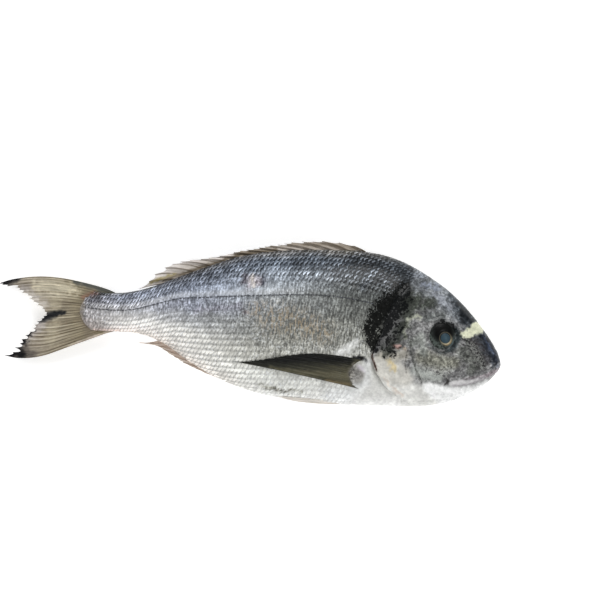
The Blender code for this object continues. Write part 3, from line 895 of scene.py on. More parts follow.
@dataclass(frozen=True)
class WetFinish:
    """What bare skin and scales share: black pigment, and a film of water over everything."""

    name: str
    ink: Colour
    rough: float = 0.24
    film: float = 0.14
    film_over_ink: float = 0.04
    ink_smoothing: float = 0.16
    ink_share: float = 0.97
    relief_strength: float = 0.7

    def wet(
        self, pot: Pot, colour: Socket, black: Tone, roughness: Tone, height: Tone, depth: float,
        **others: Tone,
    ) -> Material:
        """Lays the pigment and the water over the rest of a finish.

        Args:
            pot: the material.
            colour: its colour so far.
            black: the share of black pigment.
            roughness: its roughness where it has no pigment.
            height: its fine relief, from 0 to 1.
            depth: how deep that is, in metres.
            others: the shader's other sockets.

        Returns:
            The finished material.
        """
        varying = {
            "Base Color": pot.blend(black * self.ink_share, colour, light(self.ink)),
            "Coat Weight": self.film - black * (self.film - self.film_over_ink),
            "Roughness": roughness - black * self.ink_smoothing,
            "Normal": pot.bump(height, depth, self.relief_strength),
        }
        constants = {"Coat Roughness": 0.1, "Coat IOR": 1.35, "Specular IOR Level": 0.08}
        return pot.finish(constants, varying | others)


@dataclass(frozen=True)
class SkinFinish(WetFinish):
    """Wet bare skin: mottled, with light worm-shaped specks on the cheek."""

    name: str = "wet_skin"
    ink: Colour = (10, 12, 13)
    pale: Colour = (206, 210, 202)
    broad_scale: float = 110.0
    mottle_scale: float = 260.0
    worm_scale: float = 560.0
    fine_scale: float = 620.0
    depth: float = 0.00022

    def material(self) -> Material:
        """The material."""
        pot = Pot(self.name)
        tint, here = pot.tint(), pot.place()
        lightness = pot.lightness(tint)
        mottle, worm = pot.noise(here, self.mottle_scale, 3.0), pot.noise(here, self.worm_scale)
        broad, fine = pot.noise(here, self.broad_scale, 2.0, 0.5), pot.noise(here, self.fine_scale)
        ridge = 1 - (worm - 0.5).maths("ABSOLUTE") * 10.0
        speck = ridge.step(0.2, 0.9) * pot.attribute("worms")
        # pale skin is calmer than dark skin
        calm = 1.15 - lightness.step(0.16, 0.42) * 0.95
        level = (mottle.step(0.36, 0.64) - 0.5) * 1.0 + (fine.step(0.36, 0.64) - 0.5) * 1.1
        level = level + (broad - 0.5) * 1.2
        sparkle = fine.step(0.6, 0.7) * mottle.step(0.45, 0.6) * calm * lightness.step(0.02, 0.1)
        colour = pot.dim(tint, (level * calm).doublings())
        colour = pot.blend(speck * 0.5, colour, light(self.pale))
        colour = pot.blend(sparkle * 0.3, colour, light(self.pale))
        black = pot.black(fine.step(0.3, 0.7) * 0.5 + mottle.step(0.3, 0.7) * 0.5, 0.25, 0.8)
        roughness = self.rough + mottle * 0.2 - speck * 0.08
        height = mottle * 0.6 + fine * 0.4 + speck * 0.3
        return self.wet(pot, colour, black, roughness, height, self.depth)


@dataclass(frozen=True)
class ScaleFinish(WetFinish):
    """Wet silvery scales: each has a painted highlight on its hind edge, painted shade at its root under the
    scale ahead, and a random shade of its own.
    """

    name: str = "wet_scales"
    ink: Colour = (10, 11, 10)
    # the colour of the painted highlights on the scales, which the frost pales towards too
    glint: Colour = (226, 234, 248)
    rust: Colour = (156, 132, 96)
    drift_scale: float = 85.0
    broad_scale: float = 170.0
    fine_scale: float = 800.0
    streak_scales: Triple = (1050.0, 220.0, 220.0)
    streak_turn: float = 0.1
    depth: float = 0.00012

    def material(self) -> Material:
        """The material."""
        pot = Pot(self.name)
        tint, here = pot.tint(), pot.place()
        lightness = pot.lightness(tint)
        names = ("along", "across", "shade", "glint", "rust", "rows")
        along, across, shade, glint, rust, rows = (pot.attribute(name) for name in names)
        fine, broad = pot.noise(here, self.fine_scale), pot.noise(here, self.broad_scale, 3.0)
        streak = pot.noise(pot.place(self.streak_scales, self.streak_turn), 1.0, 1.0, 0.5)
        drift = pot.noise(here, self.drift_scale, 2.0, 0.55)
        patches = broad.step(0.35, 0.6)
        # a painted highlight stroke and a stroke of painted crevice shade cross each scale at a slant, one
        # behind the other
        slant = along + across * 0.44 + (shade - 0.5) * 0.12 + (fine - 0.5) * 0.3
        stroke = 1 - (slant - 0.8).maths("ABSOLUTE").step(0.05, 0.14)
        painted_crevice_shade = 1 - (slant - 0.56).maths("ABSOLUTE").step(0.04, 0.16)
        painted_highlight = stroke * glint * (0.15 + patches * 0.55) * (0.6 + shade * 0.7)
        # the random shade of each scale, painted shade at its root just behind the scale ahead, and the
        # painted highlight and crevice shade on it
        gap = 1 - along.step(0.52, 0.66)
        level = 0.1 + (shade - 0.5) * (0.3 + glint * 0.5) - gap * (0.05 + glint * 0.5) - glint * 0.2
        level = level + painted_highlight * 1.5 - painted_crevice_shade * glint * (1.1 + patches)
        level = level + (drift.step(0.34, 0.66) - 0.5) * glint * 0.8
        # a light line runs along the middle of each row below the lateral line
        middle = 1 - across.maths("ABSOLUTE").step(0.1, 0.85)
        level = level + (middle - 0.42) * (0.15 + rows * (0.35 + patches * 0.6)) * (1 - glint)
        level = level - painted_crevice_shade * rows * 0.4
        # ripples and streaks run over all the scales, less on the pale ones
        calm = 1 - lightness.step(0.3, 0.6) * 0.8
        ripple = (broad - 0.5) * 1.1 + (fine.step(0.36, 0.64) - 0.5) * (1.0 - glint * 0.3 - rows * 0.4)
        ripple = ripple + (streak.step(0.36, 0.64) - 0.5) * (1.3 - glint * 1.1 - rows * 0.8)
        level = level + ripple * calm
        colour = pot.dim(tint, level.doublings())
        colour = pot.blend(streak.step(0.48, 0.6) * rust * 0.55, colour, light(self.rust))
        frost = fine.step(0.52, 0.66) * patches * lightness.step(0.12, 0.3)
        # the painted highlights, and the frost, pale towards the glint colour
        colour = pot.blend(painted_highlight * 0.3 + frost * 0.25, colour, light(self.glint))
        black = pot.black(fine.step(0.3, 0.7) * 0.65 + shade * 0.35, 0.4, 0.62)
        roughness = self.rough + fine * 0.2 - painted_highlight * 0.08
        height = fine * 0.5 + streak * 0.5
        return self.wet(pot, colour, black, roughness, height, self.depth, Metallic=painted_highlight * 0.2)


@dataclass(frozen=True)
class WebFinish:
    """A wet fin: its colours come with the mesh, and fine streaks run along its rays."""

    name: str
    streaks: Pair
    contrast: float
    rough: float = 0.38
    joints: Pair = (60.0, 46.0)
    fine_scale: float = 1500.0
    depth: float = 0.0002

    def material(self) -> Material:
        """The material."""
        pot = Pot(self.name)
        web = pot.node("ShaderNodeUVMap", {"uv_map": "web"}).outputs[0]
        streak = pot.noise(pot.stretch(web, self.streaks), 1.0, 3.0, 0.65)
        joint = pot.noise(pot.stretch(web, self.joints), 1.0)
        fine = pot.noise(pot.place(), self.fine_scale)
        level = (streak - 0.5) * self.contrast * 2.4 + (joint - 0.5) * 0.5 + (fine - 0.5) * 0.4
        height = streak * 0.7 + fine * 0.3
        return pot.finish(
            {"Coat Roughness": 0.12, "Coat Weight": 0.1, "Coat IOR": 1.35, "Specular IOR Level": 0.15},
            {
                "Base Color": pot.dim(pot.tint(), level.doublings()),
                "Roughness": self.rough + streak * 0.2,
                "Normal": pot.bump(height, self.depth, 0.6),
            },
        )


@dataclass(frozen=True)
class EyeFinish:
    """A wet, slightly clouded eye under its clear cornea."""

    name: str = "wet_eye"
    cloud_scale: float = 700.0
    thread_scale: float = 2400.0
    rough: float = 0.3
    depth: float = 0.00008

    def material(self) -> Material:
        """The material."""
        pot = Pot(self.name)
        here = pot.place()
        cloud, threads = pot.noise(here, self.cloud_scale, 3.0), pot.noise(here, self.thread_scale)
        level = 0.7 + cloud * 0.36 + threads * 0.24
        return pot.finish(
            {"Coat Weight": 0.06, "Coat Roughness": 0.12, "Coat IOR": 1.3, "Specular IOR Level": 0.06},
            {
                "Base Color": pot.dim(pot.tint(), level),
                "Roughness": self.rough + cloud * 0.2,
                "Normal": pot.bump(cloud, self.depth, 0.4),
            },
        )


@dataclass(frozen=True)
class TableFinish:
    """A plain white table top that glows a little, so that shadows on it stay soft."""

    name: str = "white_table"
    whites: tuple[Colour, Colour] = ((244, 244, 243), (248, 248, 248))
    cloud_scale: float = 6.0
    glow: float = 0.42
    rough: float = 0.75

    def material(self) -> Material:
        """The material."""
        pot = Pot(self.name)
        cloud = pot.noise(pot.place(), self.cloud_scale, 2.0, 0.5)
        colour = pot.blend(cloud, *(light(white) for white in self.whites))
        glow = {"Emission Color": WHITE, "Emission Strength": self.glow}
        return pot.finish(glow, {"Base Color": colour, "Roughness": self.rough + cloud * 0.1})


# ---- the workbench


class Bench:
    """Operators that start, move, close and hand over a piece."""

    @staticmethod
    def alone(piece: Piece) -> None:
        """Selects this piece and nothing else."""
        bpy.ops.object.select_all(action="DESELECT")
        piece.select_set(True)
        bpy.context.view_layer.objects.active = piece

    @staticmethod
    def sheet(name: str, columns: int, rows: int) -> tuple[Piece, Array, Array]:
        """A flat grid to be bent into a piece.

        Args:
            name: the piece's name.
            columns: cells across.
            rows: cells along.

        Returns:
            The object, and for each vertex its share across and its share along.
        """
        bpy.ops.object.select_all(action="DESELECT")
        bpy.ops.mesh.primitive_grid_add(x_subdivisions=columns, y_subdivisions=rows, size=2, calc_uvs=True)
        piece = bpy.context.active_object
        piece.name = piece.data.name = name
        flat = Bench.points(piece)
        return piece, (flat[:, 0] + 1) / 2, (flat[:, 1] + 1) / 2

    @staticmethod
    def ball(name: str, segments: int, rings: int) -> tuple[Piece, Array]:
        """A ball of radius 1 to be shaped into a piece, and the places of its vertices."""
        bpy.ops.object.select_all(action="DESELECT")
        bpy.ops.mesh.primitive_uv_sphere_add(segments=segments, ring_count=rings, radius=1)
        piece = bpy.context.active_object
        piece.name = piece.data.name = name
        return piece, Bench.points(piece)

    @staticmethod
    def copies(name: str, points: Array, faces: Sequence[Sequence[int]], count: int) -> Piece:
        """Copies one shape many times, in one mesh.

        Args:
            name: the piece's name.
            points: the places of the vertices of all the copies, one copy after another.
            faces: the faces of one copy.
            count: how many copies there are.

        Returns:
            The new object.
        """
        number = np.arange(count)[:, None]
        corners = np.concatenate([np.asarray(face) for face in faces])
        ends = np.cumsum([len(face) for face in faces])
        starts = np.concatenate(((0,), ends[:-1]))
        mesh = bpy.data.meshes.new(name)
        mesh.vertices.add(len(points))
        mesh.vertices.foreach_set("co", points.astype(np.float32).ravel())
        mesh.loops.add(count * len(corners))
        everywhere = corners + len(points) // count * number
        mesh.loops.foreach_set("vertex_index", everywhere.astype(np.int32).ravel())
        mesh.polygons.add(count * len(faces))
        everywhere = starts + len(corners) * number
        mesh.polygons.foreach_set("loop_start", everywhere.astype(np.int32).ravel())
        mesh.update(calc_edges=True)
        piece = bpy.data.objects.new(name, mesh)
        bpy.context.scene.collection.objects.link(piece)
        return piece

    @staticmethod
    def points(piece: Piece) -> Array:
        """The places of a piece's vertices."""
        held = np.empty(len(piece.data.vertices) * 3, np.float32)
        piece.data.vertices.foreach_get("co", held)
        return held.reshape(-1, 3).astype(float)

    @staticmethod
    def move(piece: Piece, points: Array) -> None:
        """Moves a piece's vertices to these places."""
        piece.data.vertices.foreach_set("co", np.asarray(points, np.float32).ravel())
        piece.data.update()

    @staticmethod
    def tint(piece: Piece, colours: Array) -> None:
        """Holds a colour at each vertex."""
        held = piece.data.color_attributes.new(name="tint", type="FLOAT_COLOR", domain="POINT")
        rgba = np.concatenate((colours, np.ones((len(colours), 1))), 1)
        held.data.foreach_set("color", rgba.astype(np.float32).ravel())

    @staticmethod
    def hold(piece: Piece, **held: Array | float) -> None:
        """Holds numbers at each vertex, each under its name. One number serves all the vertices."""
        for name, values in held.items():
            layer = piece.data.attributes.new(name=name, type="FLOAT", domain="POINT")
            filled = np.broadcast_to(np.asarray(values, np.float32), len(layer.data))
            layer.data.foreach_set("value", np.ascontiguousarray(filled))

    @staticmethod
    def held(piece: Piece, name: str) -> Array:
        """The numbers that a piece holds at its vertices under a name."""
        values = np.empty(len(piece.data.vertices), np.float32)
        piece.data.attributes[name].data.foreach_get("value", values)
        return values

    @staticmethod
    def close(piece: Piece, distance: float = PART_CLOSE) -> None:
        """Merges the seams of a bent piece and turns its faces outwards."""
        Bench.alone(piece)
        bpy.ops.object.mode_set(mode="EDIT")
        bpy.ops.mesh.select_all(action="SELECT")
        bpy.ops.mesh.remove_doubles(threshold=distance)
        bpy.ops.mesh.select_all(action="SELECT")
        bpy.ops.mesh.normals_make_consistent(inside=False)
        bpy.ops.object.mode_set(mode="OBJECT")

    @staticmethod
    def thicken(piece: Piece, thickness: float, offset: float, weights: Sequence[float] = ()) -> None:
        """Gives a sheet two faces.

        Args:
            piece: the sheet.
            thickness: the greatest thickness.
            offset: 0 for both sides of the sheet, and -1 for below it.
            weights: each vertex's share of the thickness.
        """
        Bench.alone(piece)
        solid = piece.modifiers.new("thickness", "SOLIDIFY")
        solid.thickness, solid.offset = thickness, offset
        if len(weights):
            group = piece.vertex_groups.new(name="thickness")
            for i, weight in enumerate(weights):
                group.add([i], float(weight), "REPLACE")
            solid.vertex_group = group.name
        bpy.ops.object.modifier_apply(modifier=solid.name)
        piece.vertex_groups.clear()

    @staticmethod
    def hand_over(piece: Piece, slot: Slot, material: Material, sharp: float = 60.0) -> None:
        """Shades a finished piece, dresses it, and has it stand for the part's solid.

        Args:
            piece: the finished mesh.
            slot: not used.
            material: its material.
            sharp: the angle past which an edge stays sharp, in degrees.
        """
        Bench.alone(piece)
        bpy.ops.object.shade_smooth_by_angle(angle=math.radians(sharp))
        piece.data.materials.clear()
        piece.data.materials.append(material)
        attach(piece, BODY)
        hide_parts(NODE)
        log.info("%s: %d faces", piece.name, len(piece.data.polygons))


# ---- head and trunk


@dataclass
class Skin:
    """The fish's skin in one closed mesh, close-meshed on the head and wide-meshed under the scales."""

    ring: int = 256
    snout_rows: int = 14
    head_step: float = 0.5
    gill_station: float = 76.0  # the ring that comes to lie on the gill cover's edge
    slit_stations: tuple[float, ...] = (75.5, 75.75, 75.92, 76.0, 76.06, 76.3, 76.7)
    shoulder: Pair = (77.2, 94.0)
    shoulder_step: float = 0.6
    trunk_step: float = 1.9
    cap_rows: int = 5
    cap_length: float = 1.6
    side_bunching: float = 0.22
    warp: float = 34.0  # how far from the gill cover's edge the mesh still follows it
    seam: float = 2e-6
    lilac_worms: float = 0.6

    def stations(self) -> Array:
        """The distances from the snout where the rings lie, before they follow the gill cover's edge."""
        rounding = FORM.snout_rounding
        snout = rounding * (1 - np.cos(np.linspace(0, math.pi / 2, self.snout_rows, endpoint=False)))
        return np.concatenate((
            snout,
            np.arange(rounding, self.slit_stations[0] - 0.4, self.head_step),
            self.slit_stations,
            np.arange(*self.shoulder, self.shoulder_step),
            np.arange(self.shoulder[1], BODY_END - 0.5, self.trunk_step),
            BODY_END + self.cap_length * np.sin(np.linspace(0, math.pi / 2, self.cap_rows)),
        ))  # fmt: skip

    def build(self) -> None:
        """Models and dresses the skin."""
        stations = self.stations()
        piece, across, along = Bench.sheet("skin", len(stations) - 1, self.ring)
        piece.data.uv_layers[0].name = BAKE_MAP
        station = stations[np.rint(across * (len(stations) - 1)).astype(int)]
        turn = (along * 2 - 1) * math.pi
        turn = np.clip(turn + self.side_bunching * np.sin(2 * turn), -math.pi, math.pi)
        back = self.rings(station, turn)
        up, _ = FORM.section(back, turn)
        flat = np.sqrt(1 - np.clip((station - BODY_END) / self.cap_length, 0, 1) ** 2)
        lift = RELIEF.lift(back, up) * smooth(0, 1.5, back)
        Bench.move(piece, place(FORM.point(back, turn, lift * flat, flat)))
        Bench.tint(piece, PAINT.skin(back, up))
        worms = np.maximum(PAINT.worms.cover(back, up), self.lilac_worms * PAINT.lilac.cover(back, up))
        Bench.hold(piece, worms=worms, ink=PAINT.black(back, up))
        Bench.close(piece, self.seam)
        Bench.hand_over(piece, Slot.SKIN, SkinFinish().material(), 75.0)

    def rings(self, station: Array, turn: Array) -> Array:
        """How far from the snout each point lies.

        Args:
            station: where its ring lies, on a straight body.
            turn: its angle round the section.

        Returns:
            Its distance, once the rings follow the gill cover's edge and the tail's root.
        """
        share = 1 - smooth(0, self.warp, np.abs(station - self.gill_station))
        back = station
        for _ in range(3):
            up, _ = FORM.section(np.clip(back, 0, BODY_END), turn)
            back = station + share * (FORM.gill_edge(up) - self.gill_station)
        root = np.clip((station - FORM.tail_root_start) / (BODY_END - FORM.tail_root_start), 0, 1)
        return np.maximum(back - FORM.tail_root_rounding * root**2 * np.cos(turn) ** 2, 0)


class Rows:
    """The rows of scales round the body: row 0 runs along the lateral line, and they count up from it."""

    pitch = Line((45, 2.5), (60, 2.7), (88, 3.6), (120, 3.75), (180, 3.6), (230, 2.9), (268, 2.5))
    back_step = 2.0
    row_step = 0.5
    overlap = 0.35  # how far the table goes past the back and the belly, as a turn
    reach = 20.0  # how fast the turn grows past the table's ends, in millimetres to a turn of 1

    def __init__(self) -> None:
        """Tables the turn round the section at each row, from the length of skin up to it."""
        self.backs = np.arange(40.0, BODY_END + 1, self.back_step)
        self.numbers = np.arange(-26.0, 26.0, self.row_step)
        self.table = np.array([self.turns(station) for station in self.backs])

    def turns(self, station: float) -> Array:
        """Measures one section.

        Args:
            station: its distance from the snout.

        Returns:
            The turn at each row.
        """
        turns = np.linspace(-self.overlap, math.pi + self.overlap, 500)
        ring = FORM.section(np.full(len(turns), station), turns)
        arc = np.concatenate(((0,), np.cumsum(np.hypot(np.diff(ring[0]), np.diff(ring[1])))))
        line = np.interp(FORM.turn_at(station, FORM.lateral_line(station)), turns, arc)
        wanted = line - self.numbers * self.pitch(station)
        inside = np.interp(wanted, arc, turns)
        inside = np.where(wanted < 0, turns[0] + wanted / self.reach, inside)
        return np.where(wanted > arc[-1], turns[-1] + (wanted - arc[-1]) / self.reach, inside)

    def turn(self, back: Array, row: Array) -> Array:
        """Reads the table.

        Args:
            back: distances from the snout.
            row: row numbers, which may lie between two rows.

        Returns:
            The turn round the section at each place.
        """
        i = np.clip((back - self.backs[0]) / self.back_step, 0, len(self.backs) - 1.001)
        j = np.clip((row - self.numbers[0]) / self.row_step, 0, len(self.numbers) - 1.001)
        i0, j0 = i.astype(int), j.astype(int)
        low = mix(self.table[i0, j0], self.table[i0 + 1, j0], i - i0)
        high = mix(self.table[i0, j0 + 1], self.table[i0 + 1, j0 + 1], i - i0)
        return mix(low, high, j - j0)

    def up(self, back: Array, row: Array) -> Array:
        """The height at each distance from the snout and row."""
        return FORM.section(back, np.clip(self.turn(back, row), 0, math.pi))[0]


ROWS = Rows()


@dataclass
class Scales:
    """The coat of overlapping scales on one flank."""

    side: Side
    finish: Material
    length: float = 4.8
    root: float = 2.2  # how much of the length lies ahead of the scale's own place
    half_width: float = 2.35
    hind_arc: float = 0.2
    thickness: float = 0.12
    slope: float = 0.085
    dome: float = 0.1
    sunk: float = 0.06
    scatter: float = 0.14
    row_scatter: float = 0.035
    tilt: float = 0.09
    rise: float = 0.035
    sizes: Pair = (0.94, 1.05)
    cells: tuple[int, int] = (3, 4)
    row_count: int = 44
    first: float = 47.0
    last: float = 266.0

    column_pitch = Line((45, 1.8), (62, 2), (90, 2.55), (130, 2.65), (200, 2.4), (268, 1.75))
    size = Line((45, 0.68), (62, 0.76), (88, 1.02), (190, 1.02), (235, 0.86), (260, 0.72), (268, 0.54))

    def flake(self) -> tuple[Array, Array, Array, Array]:
        """One scale, modelled once.

        Returns:
            Its points (behind, above, lift) in millimetres, each point's share along it, each
            point's share across it, and its faces.
        """
        piece, along, across = Bench.sheet("flake", *self.cells)
        aside = across * 2 - 1
        above = self.half_width * aside
        hind = self.length - self.root - self.hind_arc * above**2
        behind = -self.root + (hind + self.root) * along
        lift = self.slope * (behind + self.root) + self.dome * (1 - aside**2)
        Bench.move(piece, np.stack((behind, above, lift), -1))
        Bench.hold(piece, along=along, across=aside)
        Bench.thicken(piece, self.thickness, -1)
        points = Bench.points(piece)
        along, across = Bench.held(piece, "along"), Bench.held(piece, "across")
        faces = np.array([list(face.vertices) for face in piece.data.polygons])
        bpy.data.objects.remove(piece)
        if self.side is Side.RIGHT:
            faces = faces[:, ::-1]
        return points, along, across, faces

    @staticmethod
    def spots(along: Array, across: Array, faces: Array) -> Array:
        """Where each corner of a scale's faces lies on the scale's own share of the bake map.

        The upper face takes the larger part, the rim runs round it, and the lower face lies past them.

        Args:
            along: each vertex's share along the scale.
            across: each vertex's share across it, from -1 to 1.
            faces: its faces.

        Returns:
            A place from 0 to 1 each way for each corner of each face.
        """
        below = faces >= len(along) // 2
        under, rim = below.all(1)[:, None], (below.any(1) & ~below.all(1))[:, None]
        spread = np.where(below & rim, 1.12, 1.0)
        u = 0.5 + 0.44 * across[faces] * spread
        upper = 0.34 + 0.27 * (2 * along[faces] - 1) * spread
        return np.stack((u, np.where(under, 0.7 + 0.26 * along[faces], upper)), -1)

    def layout(self) -> tuple[Array, Array]:
        """Where the scales sit: for each, its distance from the snout and its row."""
        columns = [self.first]
        while columns[-1] < self.last:
            columns.append(columns[-1] + float(self.column_pitch(columns[-1])))
        columns = np.array(columns)
        numbers = np.arange(self.row_count) - self.row_count // 2
        shift = 0.5 * (numbers % 2)[:, None] * self.column_pitch(columns)
        back, row = (columns + shift).ravel(), np.repeat(numbers, len(columns)).astype(float)
        kept = self.covered(back, row)
        return back[kept], row[kept]

    @staticmethod
    def covered(back: Array, row: Array) -> Array:
        """Leaves the head, the pectoral fin's root and the tail's end bare.

        Args:
            back: distances from the snout.
            row: row numbers.

        Returns:
            Whether each place has a scale.
        """
        turn, up = ROWS.turn(back, row), ROWS.up(back, row)
        low, high = FORM.outline(back)
        crown = (up > 38) & (back > 66 - 1.9 * (up - 38))
        throat = (up < -31) & (back > 62)
        behind_gill = back - FORM.gill_edge(np.clip(up, -31, 43)) > 2.6
        behind_fin_root = (back > 97 - 0.3 * np.abs(up + 22)) | (up > -9)
        level = (2 * up - low - high) / (high - low)
        end = BODY_END - np.where(level > 0, 6.0, 10.0) * np.abs(level) ** 2.4 - 1.0
        on_flank = (turn > -0.04) & (turn < math.pi + 0.04)
        return on_flank & (behind_gill | crown | throat) & behind_fin_root & (back < end)

    def build(self) -> None:
        """Models one scale, copies it over the flank and dresses the coat."""
        points, along, across, faces = self.flake()
        backs, rows = self.layout()
        count = len(backs)
        dice = np.random.default_rng(31 + self.side.value)
        backs = backs + dice.normal(0, self.scatter, count)
        rows = rows + dice.normal(0, self.row_scatter, count)
        shade = dice.uniform(0, 1, count)
        tilt = dice.normal(0, self.tilt, (count, 1))
        rise = dice.normal(0, self.rise, (count, 1))
        size = (self.size(backs) * dice.uniform(*self.sizes, count))[:, None]
        behind, above, lift = (points[:, i] * size for i in range(3))
        cos, sin = np.cos(tilt), np.sin(tilt)
        back = np.minimum(backs[:, None] + behind * cos - above * sin, BODY_END).ravel()
        above = (behind * sin + above * cos) / ROWS.pitch(backs)[:, None]
        row = (rows[:, None] + above).ravel()
        lift = (lift + rise * along - self.sunk).ravel()
        turn, up = ROWS.turn(back, row), ROWS.up(back, row)
        lift += RELIEF.lift(back, up) * smooth(0.2, 2.0, np.abs(back - FORM.gill_edge(up)))
        placed = place(FORM.point(back, turn * self.side.value, lift))
        piece = Bench.copies(f"scales_{self.side.word}", placed, faces, count)
        self.map_out(piece, self.spots(along, across, faces), count)
        Bench.tint(piece, PAINT.skin(back, up))
        Bench.hold(piece, along=np.tile(along, count), across=np.tile(across, count))
        glint, lines = self.patterns(backs, ROWS.up(backs, rows))
        shade, glint, lines = (np.repeat(values, len(points)) for values in (shade, glint, lines))
        Bench.hold(piece, shade=shade, glint=glint, rows=lines)
        Bench.hold(piece, rust=PAINT.rust.cover(back, up), ink=PAINT.black(back, up))
        Bench.hand_over(piece, Slot.SCALES, self.finish, 40.0)

    @staticmethod
    def patterns(back: Array, up: Array) -> tuple[Array, Array]:
        """How strongly each scale shows the patterns of back and belly.

        Args:
            back: distances from the snout.
            up: heights.

        Returns:
            The shares of the back's painted highlight strokes and crevice shade, and of the belly's light
            rows.
        """
        level = PAINT.level(back, up)
        start = mix(0.1, 0.3, smooth(105, 150, back)) - 0.25 * smooth(205, 235, back)
        glint = 0.12 + 0.88 * smooth(0.0, 0.3, level - start) * mix(0.45, 1.0, smooth(58, 86, back))
        lines = smooth(0.1, 0.45, -level) * smooth(130, 170, back) * (1 - smooth(245, 262, back))
        return glint, np.maximum(lines, 0.12 * smooth(0.5, 0.8, -level))

    @staticmethod
    def map_out(piece: Piece, spots: Array, count: int) -> None:
        """Gives each scale a share of its own on the coat's bake map.

        Args:
            piece: the coat.
            spots: where each corner of one scale's faces lies on its share.
            count: how many scales there are.
        """
        columns = math.ceil(math.sqrt(count))
        number = np.arange(count)
        share = np.stack((number % columns, number // columns), -1)[:, None, None]
        places = ((spots + share) / columns).astype(np.float32)
        piece.data.uv_layers.new(name=BAKE_MAP).uv.foreach_set("vector", places.ravel())
        piece.data.validate()


@dataclass
class LateralLine:
    """The row of small raised tubes along one flank."""

    side: Side
    finish: Material
    pitch: float = 2.4
    start: float = 86.0
    end: float = 265.0
    half_sizes: Triple = (1.15, 0.28, 0.26)
    row_pitch: float = 3.5
    height: float = 0.34
    slope: float = 0.12
    dark: Colour = (66, 68, 74)

    def build(self) -> None:
        """Models one tube, copies it along the line and dresses the row."""
        bead, ball = Bench.ball("bead", 8, 5)
        behind, above, out = (ball * self.half_sizes).T
        faces = [list(face.vertices) for face in bead.data.polygons]
        bpy.data.objects.remove(bead)
        backs = np.arange(self.start, self.end, self.pitch)
        back = (backs[:, None] + behind).ravel()
        turn = ROWS.turn(back, np.tile(above / self.row_pitch, len(backs)))
        lift = np.tile(out + self.height + self.slope * behind, len(backs))
        points = place(FORM.point(back, turn * self.side.value, lift))
        piece = Bench.copies(f"lateral_line_{self.side.word}", points, faces, len(backs))
        Bench.tint(piece, np.tile(linear(self.dark), (len(points), 1)))
        Bench.hold(piece, worms=0, ink=0)
        Bench.close(piece)
        Bench.hand_over(piece, Slot.SKIN, self.finish)


# ---- fins


@dataclass(frozen=True)
class WebPaint:
    """A fin's colours: its rays and its web, from root to tip, and dabs of other colours."""

    ray: tuple[Colour, Colour]
    web: tuple[Colour, Colour]
    dabs: tuple[Dab, ...] = ()

    def colours(self, ridge: Array, reach: Array, back: Array, up: Array) -> Array:
        """The fin's colours as light.

        Args:
            ridge: 1 on a ray and 0 in the web.
            reach: 0 at the root and 1 at the tip.
            back: distances from the snout.
            up: heights.

        Returns:
            A colour for each point.
        """
        web, ray = (mix(*np.array(ends, float), reach[:, None]) for ends in (self.web, self.ray))
        made = mix(web, ray, ridge[:, None])
        return linear(PAINT.lay(made, self.dabs, back, up))


RAY_STEPS = 40
ALONG = np.linspace(0, 1, RAY_STEPS + 1)


def bow(root: Array, middle: Array, tip: Array) -> Array:
    """A ray's line, sampled from its root over the pull of a middle point to its tip."""
    t = ALONG[:, None]
    return root * (1 - t) ** 2 + middle * 2 * t * (1 - t) + tip * t * t


def on_ray(rays: Array, which: Array, t: Array) -> Array:
    """The points at shares t along the rays numbered which."""
    at = np.clip(t, 0, 1) * RAY_STEPS
    step = np.minimum(at.astype(int), RAY_STEPS - 1)
    return mix(rays[which, step], rays[which, step + 1], (at - step)[:, None])


